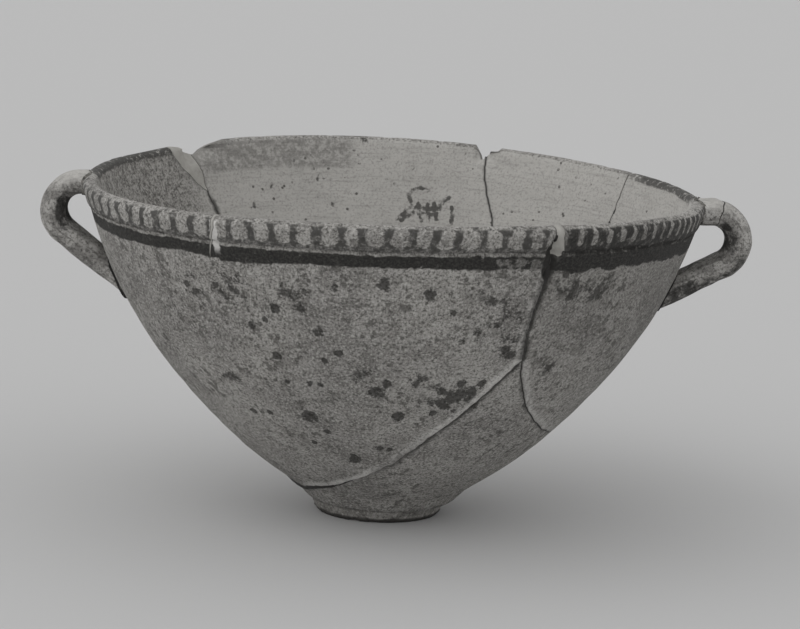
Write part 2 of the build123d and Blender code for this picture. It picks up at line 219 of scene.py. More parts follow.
# Where the cup broke: degrees round the axis from the right handle, and shares up the outer wall
front_meeting, right_meeting, rear_meeting, left_meeting = (-59.7, 0.645), (36, 0.35), (64, 0.42), (128, 0.27)
fill_tip, splinter_foot = (134.6, 0.862), (-59.8, 0.925)
break_tables = {
    "front_top": ((-60.3, 1), (-60.2, 0.97), splinter_foot),
    "front": (splinter_foot, (-59.5, 0.9), (-60.4, 0.85), (-61, 0.76), (-60.8, 0.71), front_meeting),
    "lower_right": (
        front_meeting, (-58.1, 0.593), (-55, 0.535), (-50.7, 0.476), (-43.5, 0.42), (-33.5, 0.367),
        (-20, 0.33), (0, 0.31), (20, 0.315), right_meeting,
    ),
    "rear_corner": (right_meeting, (50, 0.365), rear_meeting),
    "lower_rear": (rear_meeting, (84, 0.37), (106, 0.3), left_meeting),
    "diagonal": (
        left_meeting, (150, 0.18), (172, 0.1), (192, 0.062), (212.4, 0.055), (241.5, 0.108),
        (255.7, 0.158), (265.7, 0.21), (274.6, 0.266), (282.5, 0.367), (289.9, 0.464), (295.4, 0.561),
        (298.4, 0.615), (300.3, 0.645),
    ),
    "fill_left": ((142.8, 1), (141.5, 0.955), (138.8, 0.911), (136.5, 0.883), fill_tip),
    "fill_right": ((136.9, 1), (136, 0.945), (134.9, 0.9), fill_tip),
    "rear_left": (fill_tip, (133.2, 0.81), (131.5, 0.7), (133, 0.55), (130, 0.4), left_meeting),
    "rear_right": (
        (71.5, 1), (70.9, 0.94), (70.4, 0.9), (69, 0.852), (67.1, 0.8), (65, 0.68), (66.5, 0.55),
        rear_meeting,
    ),
    "inner_right": ((35, 1), (35.5, 0.91), (36.5, 0.8), (34.5, 0.66), (37, 0.5), right_meeting),
    "splinter": ((-58.7, 1), (-57.5, 0.925), splinter_foot),
    "crack_left": ((-122.7, 1), (-123.7, 0.95), (-124.6, 0.885)),
    "crack_right": ((-122.1, 1), (-123.3, 0.95), (-124.6, 0.885)),
}
# Pieces of the rim that are lost: where each starts, its length and depth, and its outline
notches = (
    (127.5, 24.0, 4.8, ((0, 0), (0.3, 0.4), (0.52, 1), (0.64, 0.9), (0.8, 0.6), (0.84, 0.2), (1, 0))),
    (68.2, 9.2, 6.3, ((0, 0.05), (0.08, 0.3), (0.35, 0.42), (0.58, 0.72), (0.7, 1), (0.88, 0.42), (1, 0))),
)
join_gap, break_step, rim_step = 0.34, 0.8, 0.55
lip_drop = cup_height - lip_outside[1]


def lost_depth(angle):
    """How far below the lip the rim is broken away, in a direction round the axis."""
    depth = np.zeros_like(angle)
    for start, length, deepest, outline in notches:
        turn = (np.degrees(angle) - start + 180) % 360 - 180
        along = np.radians(turn) * crest[0] / length
        shares = np.array(outline)
        inside = (along > 0) & (along < 1)
        depth = np.where(inside, deepest * np.interp(along, shares[:, 0], shares[:, 1]), depth)
    return depth


def rim_place(angle):
    """Where the wall ends on the map, and how much of its round lip is left there, from 0 to 1."""
    depth = lost_depth(angle)
    level = cup_height - depth
    broken_reach = seat_radius + np.interp(level, outer_line[:, 1], outer_along)
    return np.where(depth < lip_drop, lip_reach, broken_reach), np.clip(1 - depth / lip_drop, 0, 1)


def ragged(table):
    """A break on the map, worn into small steps and curves: angle, reach and lip for each point."""
    places = np.array(table, float)
    angle, reach = np.radians(places[:, 0]), seat_radius + np.minimum(places[:, 1], lip_share) * wall_length
    radius = outer_profile(reach)[0][:, 0]
    along = np.concatenate(
        [[0], np.cumsum(np.hypot(np.diff(angle) * (radius[1:] + radius[:-1]) / 2, np.diff(reach)))]
    )
    where = np.linspace(0, along[-1], max(4, int(along[-1] / break_step)))
    angle, reach = np.interp(where, along, angle), np.interp(where, along, reach)
    for _ in range(8):
        angle[1:-1] = (angle[:-2] + 2 * angle[1:-1] + angle[2:]) / 4
        reach[1:-1] = (reach[:-2] + 2 * reach[1:-1] + reach[2:]) / 4
    radius = outer_profile(reach)[0][:, 0]
    points = np.stack([reach * np.cos(angle), reach * np.sin(angle), np.zeros_like(reach)], axis=1)
    shift = 0.3 * grain(points, 3.4, 5) + 0.16 * grain(points, 1.2, 6)
    shift *= ease(0, 2, where) * ease(0, 2, where[-1] - where)
    ways = np.stack([np.gradient(reach), radius * np.gradient(angle)], axis=1)
    ways /= np.linalg.norm(ways, axis=1)[:, None]
    angle, reach = angle + ways[:, 0] * shift / radius, reach - ways[:, 1] * shift
    if places[0, 1] < 1:
        return np.stack([angle, reach, np.zeros_like(reach)], axis=1)
    top, lip = rim_place(angle)
    kept = reach < top - 0.3
    first = np.argmax(kept)
    start = [[angle[first], top[first], lip[first]]]
    rest = np.stack([angle[kept], reach[kept], np.zeros(kept.sum())], axis=1)
    return np.concatenate([start, rest])


def rim_run(start, end):
    """The rim from one direction to another, without its two ends."""
    end = end if end > start else end + 2 * pi
    count = max(2, int((end - start) * rim_radius / rim_step / 1.6))
    angle = np.linspace(start, end, count)[1:-1]
    reach, lip = rim_place(angle)
    return np.stack([angle, reach, lip], axis=1)


breaks = {name: ragged(table) for name, table in break_tables.items()}


def drawn_in(loop, at_rim, inset):
    """A closed outline on the map, drawn in along its breaks but not along its rim."""
    angle, reach, lip = loop.T
    radius = np.maximum(outer_profile(reach)[0][:, 0], 1)
    turn = (np.roll(angle, -1) - angle + pi) % (2 * pi) - pi
    way = np.stack([np.roll(reach, -1) - reach, turn * radius], axis=1)
    way /= np.linalg.norm(way, axis=1)[:, None] + 1e-9
    amount = np.where(at_rim, 0, inset)
    into = np.stack([-way[:, 1], way[:, 0]], axis=1)
    before, before_amount = np.roll(into, 1, axis=0), np.roll(amount, 1)
    cross = before[:, 0] * into[:, 1] - before[:, 1] * into[:, 0]
    sharp = np.abs(cross) > 0.25
    safe = np.where(sharp, cross, 1)
    corner = np.stack([
        (before_amount * into[:, 1] - amount * before[:, 1]) / safe,
        (amount * before[:, 0] - before_amount * into[:, 0]) / safe,
    ], axis=1)
    middle = (before + into) / 2 * ((before_amount + amount) / 2)[:, None]
    shift = np.where(sharp[:, None], corner, middle)
    return np.stack([angle + shift[:, 1] / radius, reach + shift[:, 0], lip], axis=1)


def outline(*runs):
    """The closed outline of a piece: breaks by name, backwards after a minus, and stretches of rim
    between the ends of two breaks. Each run starts where the one before it ends."""
    loop, at_rim = [], []
    for run in runs:
        if isinstance(run, str):
            points = breaks[run.strip("-")]
            points = points[::-1][:-1] if run.startswith("-") else points[:-1]
        else:
            start, end = breaks[run[0]][0], breaks[run[1]][0]
            points = np.concatenate([start[None], rim_run(start[0], end[0])])
        loop.append(points)
        at_rim.append(np.full(len(points), not isinstance(run, str)))
    return np.concatenate(loop), np.concatenate(at_rim)


# Marks on the clay that have a place of their own: degrees, height and radius in millimetres.
# Dark spots on the outside, and chips and pits on the inside.
outer_spots = (
    (-103.8, 73.3, 1.9), (-113.8, 63.7, 1.6), (-106.7, 80.1, 1.5), (-112, 79.4, 1.7), (-99.8, 87.9, 1.3),
    (-90.8, 89.5, 2.3), (-91.4, 53.3, 2.6), (-110.2, 42.6, 2.9), (-86.1, 44.8, 2), (-99.1, 27.6, 2.3),
    (-99.7, 66.3, 1.5), (-103, 63.4, 1.1), (-113, 54.7, 1.2), (-107.5, 55, 1.1), (-104.8, 54.7, 1.2),
    (-118, 73, 1.6), (-105.9, 37.5, 1.2), (-111.7, 32.5, 1), (-89.4, 56.7, 1.6), (-90.6, 32.4, 1.5),
    (-87.7, 32.2, 1.2), (-114.8, 75.7, 1.2), (-122.5, 41.8, 1.3), (-128.3, 41.3, 1.5), (-82.3, 86.5, 1.9),
    (-71.8, 53, 2.6), (-73.6, 51.2, 2.2), (-69.6, 54, 2.2), (-76.3, 50.2, 1.9), (-74.8, 48.6, 1.7),
    (-72.3, 56.8, 1.7), (-67.6, 57, 1.5), (-69.2, 51.2, 1.7), (-77.3, 46.4, 1.4),
    (-77.4, 81, 1.2), (-132.1, 84, 1.3), (-129.6, 82, 1.1), (-124.4, 85.2, 1.2), (-121, 84.5, 1),
    (-63.2, 66.5, 1.9), (-64.6, 68.6, 1.7),
)
dark_clouds = (
    (-130.5, 82.5, 5), (-121, 85, 6), (-130.7, 52.7, 6), (-76, 53, 7), (-71.5, 51, 7), (-78, 48, 5),
    (-82, 58, 4), (-67, 79, 6), (-71, 84, 5), (-64.5, 69, 5), (-54, 92, 8), (-47, 86, 6), (-55, 71, 3.5),
    (-51.6, 61.5, 3),
    (-73, 73, 4), (-108, 85, 5), (-96, 60, 4),
)
inner_pits = (
    (122.9, 84.1, 1.2), (101, 107, 2.2), (96.5, 106.4, 2), (112, 98, 0.8), (107, 92, 0.9), (93, 99, 0.8),
    (86, 97, 0.8), (118, 90, 0.8), (80, 100.5, 0.7), (104, 84, 0.8),
)
# What is left of an ornament painted inside the back wall: brush strokes in millimetres along the wall
ornament_place, ornament_stroke = (82, 86.5), 0.75
ornament_strokes = (
    ((-10.8, -4.8), (-8.1, -2.8), (-6.2, 0), (-7.7, 3.2), (-6.5, 4.6), (-3.9, 5.6), (-1.2, 4.8)),
    ((-9.2, -5.2), (-5.4, -2.8)),
    ((-3.9, 0.4), (-3.2, -2), (-2.3, -4.8)),
    ((-0.8, 0.4), (-0.4, -2), (0.4, -4.4)),
    ((1.5, 0.8), (1.9, -1.6), (2.7, -4)),
    ((-4.6, -0.8), (-1, -1.2), (3.9, -0.4)),
    ((-3.6, -2.6), (0, -3), (2.6, -2.4)),
    ((3.9, 0.4), (4.6, 2), (6.5, 3.2)),
    ((7.7, 0), (8.3, -2.2), (8.1, -4.8)),
)
spall_place, spall_size, spall_depth = (-60.2, 97.2), (6.0, 2.0), 1.7
# How deep or high each kind of wear stands, in millimetres, outside and then inside
chip_depth, spot_depth, smear_height, waist_depth = 0.32, 0.22, 0.18, 0.75
inner_chip_depth, pit_depth, notch_slope = 0.35, 0.5, 2.2
# Dirt along each break, its width in millimetres and its amount at some directions round the axis,
# and where a sherd has plaster smeared beside a break
dirt_along = {
    "front_top": (0.9, ((0, 0.75),)), "front": (1.9, ((0, 1),)),
    "lower_right": (0.9, ((-59, 0.9), (-40, 0.7))),
    "rear_left": (1.0, ((0, 0.9),)), "rear_right": (0.6, ((0, 0.8),)), "inner_right": (0.5, ((0, 0.2),)),
    "diagonal": (1.6, ((228, 0.1), (262, 0.15), (272, 0.4), (280, 0.8), (299, 0.95))),
}
plaster_beside = {
    ("left_sherd", "diagonal"): ((215, 0), (226, 0.9), (262, 1), (270, 0.35), (277, 0.5), (284, 1), (299, 1)),
    ("right_sherd", "lower_right"): ((-59, 0.5), (-45, 0.75), (-20, 0.3)),
    ("left_sherd", "front"): ((-62, 0.3), (-59, 0.3)),
    ("rear_centre_sherd", "rear_left"): ((128, 0.3), (135, 0.3)),
}
break_names = [name for name, points in breaks.items() if "crack" not in name for _ in points]
trees = {}
for side, profile_of in (("outer", outer_profile), ("inner", inner_profile)):
    trees[side] = kdtree.KDTree(len(break_names))
    count = 0
    for name, points in breaks.items():
        if "crack" in name:
            continue
        for (angle, _, _), (radius, height) in zip(points, profile_of(points[:, 1])[0]):
            trees[side].insert((radius * cos(angle), radius * sin(angle), height), count)
            count += 1
    trees[side].balance()


def turned(angle, profile):
    """Points of the profile, turned round the axis."""
    return np.stack([profile[:, 0] * np.cos(angle), profile[:, 0] * np.sin(angle), profile[:, 1]], axis=1)


def spot_cover(points, spots, soft=0.35):
    """How far some points lie within round spots, from 0 to 1."""
    cover = np.zeros(len(points))
    for degrees_round, height, size in spots:
        angle = radians(degrees_round)
        radius = np.interp(height, outer_line[:, 1], outer_line[:, 0])
        middle = np.array((radius * cos(angle), radius * sin(angle), height))
        near = np.linalg.norm(points - middle, axis=1) + 0.3 * size * grain(points, size * 0.8, 9)
        cover = np.maximum(cover, ease(size * (1 + soft), size * (1 - soft), near))
    return cover


def stroke_cover(points):
    """How far some points of the inner wall lie under the ornament's strokes."""
    angle = radians(ornament_place[0])
    across = -(np.arctan2(points[:, 1], points[:, 0]) - angle) * np.hypot(points[:, 0], points[:, 1])
    flat = np.stack([across, points[:, 2] - ornament_place[1]], axis=1)
    nearest = np.full(len(points), 99.0)
    for stroke in ornament_strokes:
        for start, end in zip(stroke[:-1], stroke[1:]):
            start, way = np.array(start), np.array(end) - start
            share = np.clip(((flat - start) @ way) / (way @ way), 0, 1)
            nearest = np.minimum(nearest, np.linalg.norm(flat - start - share[:, None] * way, axis=1))
    worn = np.clip(0.75 + 0.55 * grain(points, 2.0, 12), 0, 1)
    return ease(ornament_stroke * 1.5, ornament_stroke * 0.5, nearest) * worn


def near_break(side, points, piece):
    """Distance from some points of a piece to the nearest break on their side of the wall, with the
    dirt and the plaster that lie beside it."""
    found = [trees[side].find(point)[1:] for point in points]
    near = np.array([distance for _, distance in found])
    names = np.array([break_names[index] for index, _ in found])
    turn = np.degrees(np.arctan2(points[:, 1], points[:, 0]))
    dirt, plaster_amount = np.zeros(len(points)), np.zeros(len(points))
    for name in set(names):
        here = names == name
        along = turn[here] % 360 if name == "diagonal" else turn[here]
        width, amounts = dirt_along.get(name, (0.8, ((0, 0.4),)))
        uneven = near[here] + 0.35 * width * grain(points[here], 2.2, 71)
        dirt[here] = np.interp(along, *zip(*amounts)) * ease(width, width * 0.45, uneven)
        if (piece, name) in plaster_beside and side == "outer":
            places, amounts = zip(*plaster_beside[piece, name])
            width = 2.8 + 1.0 * grain(points[here], 4, 72)
            plaster_amount[here] = np.interp(along, places, amounts) * ease(width, width * 0.6, near[here])
    return near, dirt * (1 - 0.85 * plaster_amount), plaster_amount


def thrown(points, amount=1.0):
    """How far the hand and the wheel left the wall off a true turned surface."""
    turning = np.stack([points[:, 0] * 0.04, points[:, 1] * 0.04, points[:, 2]], axis=1)
    return amount * (
        0.22 * grain(points, 24, 1) + 0.09 * grain(points, 6, 2) + 0.07 * grain(turning, 2.2, 3)
        + 0.08 * grain(turning, 5.5, 4)
    )


def outer_surface(angle, reach, recess, piece):
    """The outer surface at places on the map: points, and the values that the clay is coloured by."""
    profile, outward = outer_profile(reach)
    plain = turned(angle, profile)
    near, dirt, smeared = near_break("outer", plain, piece)
    chip = ease(1.1, 0.1, near) * np.clip(0.25 + grain(plain, 2.1, 21), 0, 1)
    across = ((np.degrees(angle) - spall_place[0] + 180) % 360 - 180) * pi / 180 * profile[:, 0]
    upward = profile[:, 1] - spall_place[1]
    spall = np.hypot(across / spall_size[1], upward / spall_size[0]) + 0.25 * grain(plain, 1.6, 22)
    spall = ease(1.15, 0.8, spall)
    spots = spot_cover(plain, outer_spots)
    clouds = spot_cover(plain, dark_clouds, 0.9) * np.clip(0.5 + 1.4 * grain(plain, 2.6, 8), 0, 1)
    waist = waist_depth * ease(5.2, 9, profile[:, 1]) * ease(21, 9, profile[:, 1])
    inward = waist + chip_depth * chip + spall_depth * spall + spot_depth * spots
    inward = inward - smear_height * smeared - thrown(plain) + recess
    if recess:
        inward = recess + np.maximum(spall_depth * spall, 0.2 * chip)
    moved = profile - inward[:, None] * outward
    return turned(angle, moved), {
        "rise": profile[:, 1], "chip": chip * (1 - dirt), "mark": np.maximum(spots, 0.95 * clouds),
        "dirt": np.maximum(dirt, spall), "plaster": smeared,
    }


def inner_surface(angle, reach, recess, piece):
    """The same for the inner surface, with the ornament for its dark marks."""
    profile, hollow = inner_profile(reach)
    plain = turned(angle, profile)
    near, dirt, smeared = near_break("inner", plain, piece)
    chip = ease(1.3, 0.1, near) * np.clip(0.2 + grain(plain, 2.3, 23), 0, 1)
    pits = spot_cover(turned(angle, profile - 5.0 * hollow), inner_pits)
    sloped = ease(7, 0, lip_reach - reach) * ease(0.3, 4, lost_depth(angle))
    inward = inner_chip_depth * chip + pit_depth * pits + notch_slope * sloped - thrown(plain, 1.2)
    if recess:
        inward = recess + 0.2 * chip + notch_slope * sloped
    moved = profile - inward[:, None] * hollow
    return turned(angle, moved), {
        "rise": profile[:, 1], "chip": np.maximum(chip * (1 - dirt), 0.6 * sloped),
        "mark": np.maximum(stroke_cover(plain), pits), "dirt": dirt, "plaster": smeared,
    }


# The points that a wall mesh is made from: rings on the map, closer together towards the rim, with
# finer ones at the spots and the ornament, and the gaps that points keep from a border and each other
grid_steps = ((20, 2.0), (132, 1.15), (200, 0.7))
grid_across, side_rows = 1.35, 9
border_row, fine_gap, plain_gap = 0.5, 0.33, 0.7
lip_wear, break_relief = 0.5, 0.35
map_places = []
reach, ring = 0.0, 0
while reach < lip_reach:
    radius = max(float(outer_profile(np.array([reach]))[0][0, 0]), 0.1)
    around = max(1, round(2 * pi * radius / grid_across)) if reach else 1
    angle = (np.arange(around) + 0.5 * (ring % 2)) / around * 2 * pi
    map_places.append(np.stack([angle, np.full(around, reach)], axis=1))
    reach += next(step for limit, step in grid_steps if reach < limit)
    ring += 1
grid_count = sum(len(places) for places in map_places)
for degrees_round, height, size in outer_spots:
    middle = seat_radius + np.interp(height, outer_line[:, 1], outer_along)
    radius = np.interp(height, outer_line[:, 1], outer_line[:, 0])
    for share, count in ((0.0, 1), (0.55, 6), (0.8, 9), (1.05, 11), (1.35, 12)):
        spin = np.arange(count) / count * 2 * pi
        angle = radians(degrees_round) + share * size * np.cos(spin) / radius
        map_places.append(np.stack([angle, middle + share * size * np.sin(spin)], axis=1))
fine = np.stack(np.meshgrid(np.arange(-12, 10, 0.42), np.arange(-7, 7, 0.42)), axis=-1).reshape(-1, 2)
ornament_radius, ornament_heights = 88.5, fine[:, 1] + ornament_place[1]
inner_heights = inner_line[::-1, 1]
inner_reaches = np.interp(inner_along, inner_of_map[::-1], map_marks[::-1])[::-1]
map_places.append(np.stack([
    radians(ornament_place[0]) - fine[:, 0] / ornament_radius,
    np.interp(ornament_heights, inner_heights, inner_reaches),
], axis=1))
map_places = np.concatenate(map_places)


def flat_map(angle, reach):
    """Places on the map as flat points, with the axis in the middle."""
    return np.stack([reach * np.cos(angle), reach * np.sin(angle)], axis=1)


def within(points, loop):
    """Which points lie inside a closed outline."""
    inside = np.zeros(len(points), bool)
    for (ax, ay), (bx, by) in zip(loop, np.roll(loop, -1, axis=0)):
        if ay != by:
            spans = (points[:, 1] < ay) != (points[:, 1] < by)
            inside ^= spans & (points[:, 0] < (bx - ax) * (points[:, 1] - ay) / (by - ay) + ax)
    return inside


def spaced(points, kept, gap):
    """Points, in order, that are not within a gap of some kept points or of each other."""
    tree = kdtree.KDTree(len(kept))
    for index, (x, y) in enumerate(kept):
        tree.insert((x, y, 0), index)
    tree.balance()
    far = np.array([tree.find((x, y, 0))[2] > gap for x, y in points], bool)
    cells, chosen = set(), []
    for index in np.flatnonzero(far):
        cell = tuple(np.round(points[index] / (gap * 0.8)).astype(int))
        if cell not in cells:
            cells.add(cell)
            chosen.append(index)
    return points[chosen]


def mesh_of(name, corners, faces, materials, face_material, layers, sharp=()):
    """An object from points in millimetres, with its materials, point values and sharp edges."""
    mesh = bpy.data.meshes.new(name)
    mesh.from_pydata((np.asarray(corners) * 0.001).tolist(), [], faces)
    for material in materials:
        mesh.materials.append(material)
    mesh.polygons.foreach_set("use_smooth", [True] * len(mesh.polygons))
    mesh.polygons.foreach_set("material_index", list(face_material))
    for layer, values in layers.items():
        mesh.attributes.new(layer, "FLOAT", "POINT").data.foreach_set("value", np.asarray(values, float))
    if len(sharp):
        pairs = {tuple(sorted(pair)) for pair in sharp}
        ends = np.empty(len(mesh.edges) * 2, int)
        mesh.edges.foreach_get("vertices", ends)
        edge_ends = ends.reshape(-1, 2).tolist()
        mesh.edges.foreach_set("use_edge_sharp", [tuple(sorted(pair)) in pairs for pair in edge_ends])
    mesh.validate()
    mesh.update()
    mesh.calc_loop_triangles()
    triangles = np.array([triangle.vertices for triangle in mesh.loop_triangles])
    a, b, c = (np.asarray(corners)[triangles[:, index]] for index in range(3))
    if np.sum(a * np.cross(b, c)) < 0:
        mesh.flip_normals()
    piece = bpy.data.objects.new(name, mesh)
    bpy.context.collection.objects.link(piece)
    return piece


def wall_piece(name, loop, at_rim, inset, materials, recess=0.0):
    """A piece of the wall inside an outline on the map: its two faces, its lip and its broken edges."""
    loop = drawn_in(loop, at_rim, inset)
    angle, reach, lip = loop.T
    border = flat_map(angle, reach)
    if recess:
        extra = np.empty((0, 2))
    else:
        near = drawn_in(loop, at_rim, border_row)
        rows = flat_map(near[:, 0], near[:, 1])[~at_rim]
        places = flat_map(map_places[:, 0], map_places[:, 1])
        special = np.concatenate([rows, places[grid_count:]])
        special = spaced(special[within(special, border)], border, fine_gap)
        regular = places[:grid_count]
        regular = regular[within(regular, border)]
        regular = spaced(regular, np.concatenate([border, special]), plain_gap)
        extra = np.concatenate([special, regular])
    count = len(border)
    points = [Vector(point) for point in np.concatenate([border, extra])]
    edges = [(index, (index + 1) % count) for index in range(count)]
    flat, _, faces, sources, _, _ = geometry.delaunay_2d_cdt(points, edges, [], 1, 1e-6)
    flat = np.array([tuple(point) for point in flat])
    place = {source: index for index, group in enumerate(sources) for source in group}
    rim = [place[index] for index in range(count)]
    all_angle, all_reach = np.arctan2(flat[:, 1], flat[:, 0]), np.hypot(flat[:, 0], flat[:, 1])
    piece = name[: name.rindex("_")]
    outer, outer_values = outer_surface(all_angle, all_reach, recess, piece)
    inner, inner_values = inner_surface(all_angle, all_reach, recess, piece)
    size = len(flat)

    arc = lip_profile(side_rows + 1)
    blends = np.linspace(0, 1, side_rows + 1)
    rows, rises = [], []
    arc_middle = (lip_outside + lip_inside) / 2
    for row in range(1, side_rows):
        share = blends[row]
        straight = outer[rim] * (1 - share) + inner[rim] * share
        profile = np.repeat(arc[row][None], count, axis=0)
        chord = lip_outside * (1 - share) + lip_inside * share
        profile = chord + (profile - chord) * lip[:, None]
        outward = (arc[row] - arc_middle) / np.linalg.norm(arc[row] - arc_middle)
        plain = turned(angle, profile)
        worn = lip_wear * np.clip(grain(plain, 3.2, 31) - 0.42, 0, 1) + recess
        rounded = turned(angle, profile + outward * (thrown(plain, 0.8) - worn)[:, None])
        rough = np.stack([grain(straight, 1.7, seed) for seed in (33, 34, 35)], axis=1)
        rough *= break_relief * 4 * share * (1 - share) * (1 - np.minimum(1, recess * 9))
        broken = straight + rough
        use = (lip > 0.02)[:, None]
        rows.append(np.where(use, rounded, broken))
        rises.append(rows[-1][:, 2])
    corners = np.concatenate([outer, inner] + rows)
    shares = blends[1:-1]
    layers = {
        "inner": np.concatenate([np.zeros(size), np.ones(size), np.repeat(shares, count)]),
        "rise": np.concatenate([outer_values["rise"], inner_values["rise"]] + rises),
    }
    for layer in ("chip", "mark", "dirt", "plaster"):
        outside, inside = outer_values[layer], inner_values[layer]
        across = [outside[rim] * (1 - share) ** 2 + inside[rim] * share**2 for share in shares]
        layers[layer] = np.concatenate([outside, inside] + across)
    corners[:, 2] += warped(np.arctan2(corners[:, 1], corners[:, 0]), layers["rise"])

    columns = np.empty((side_rows + 1, count), int)
    columns[0], columns[-1] = rim, np.array(rim) + size
    for row in range(1, side_rows):
        columns[row] = 2 * size + (row - 1) * count + np.arange(count)
    polygons = [tuple(index + size for index in face) for face in faces]
    polygons += [tuple(reversed(face)) for face in faces]
    face_material = [0] * (2 * len(faces))
    sharp = []
    for index in range(count):
        after = (index + 1) % count
        rounded = at_rim[index] and lip[index] > 0.9 and lip[after] > 0.9
        if not rounded:
            sharp += [(columns[0, index], columns[0, after]), (columns[-1, index], columns[-1, after])]
        for row in range(side_rows):
            polygons.append((
                int(columns[row, index]), int(columns[row, after]),
                int(columns[row + 1, after]), int(columns[row + 1, index]),
            ))
            face_material.append(0 if rounded else len(materials) - 1)
    sharp = [(int(a), int(b)) for a, b in sharp]
    return mesh_of(name, corners, polygons, materials, face_material, layers, sharp)


def screen_colour(code):
    """A colour written as it looks on a screen, turned to the linear values that a shader takes."""
    parts = [int(code[place : place + 2], 16) / 255 for place in (1, 3, 5)]
    linear = [part / 12.92 if part <= 0.04045 else ((part + 0.055) / 1.055) ** 2.4 for part in parts]
    return (*linear, 1)


def node(tree, kind, inputs, out=0, **settings):
    """Add a node with its settings and links, and hand back one of its outputs."""
    new = tree.nodes.new("ShaderNode" + kind)
    for setting, value in settings.items():
        setattr(new, setting, value)
    for socket, value in inputs.items() if isinstance(inputs, dict) else enumerate(inputs):
        if isinstance(value, bpy.types.NodeSocket):
            tree.links.new(value, new.inputs[socket])
        else:
            new.inputs[socket].default_value = value
    return new.outputs[out]


# Settings that many nodes share: a soft ramp, a mix of two colours, and sums on values
ramp, blend = {"interpolation_type": "SMOOTHSTEP"}, {"out": 2, "data_type": "RGBA"}
times, plus, minus, times_plus, larger, unsigned = (
    {"operation": operation}
    for operation in ("MULTIPLY", "ADD", "SUBTRACT", "MULTIPLY_ADD", "MAXIMUM", "ABSOLUTE")
)


def new_material(name, roughness, specular):
    """An empty material: the way to add its nodes, its shader, and a place on the cup in millimetres."""
    material = bpy.data.materials.new(name)
    material.use_nodes = True
    tree = material.node_tree
    tree.nodes.clear()
    shader = tree.nodes.new("ShaderNodeBsdfPrincipled")
    tree.links.new(shader.outputs[0], tree.nodes.new("ShaderNodeOutputMaterial").inputs[0])
    shader.inputs["Roughness"].default_value = roughness
    shader.inputs["Specular IOR Level"].default_value = specular
    add = partial(node, tree)
    here = add("TexCoord", (), out="Object")
    place = add("VectorMath", {0: here, "Scale": 1000.0}, operation="SCALE")
    return material, add, shader, place


def dress(shader, add, colour, height, strength, distance=0.0004):
    """Give a material its colour and its fine relief, the relief's depth in metres."""
    link = shader.id_data.links.new
    link(colour, shader.inputs["Base Color"])
    relief = add("Bump", {"Height": height, "Strength": strength, "Distance": distance})
    link(relief, shader.inputs["Normal"])


# Matt fired clay, grey, a little gritty, darkened in the kiln and by use. The paint on it is
# thinned dark clay, brushed on before firing: a band, a row of bars on the collar and a line on the
# lip, all worn thin. The eye gets a dry, cloudy, speckled ground and dull paint with soft edges.
clay_pale, clay_plain, clay_dull, clay_core = "#bab8b4", "#969490", "#7b7976", "#a9a7a3"
plaster_smear = "#d0cecb"
# The dark paint colour also serves as painted shade on the right handle's outer face
# The dark stain colour also serves as painted shade on the outside of the wall's right sherd
paint_and_shade_dark, paint_worn, stain_and_shade_dark, grit_dark = "#242322", "#3e3d3a", "#464441", "#2b2a28"
band_low, band_high, bar_low, bar_high = 94.7, 98.5, 100.5, 106.6
bar_pitch, tight_bar_pitch, bar_radius = 7.0, 5.3, 97.5


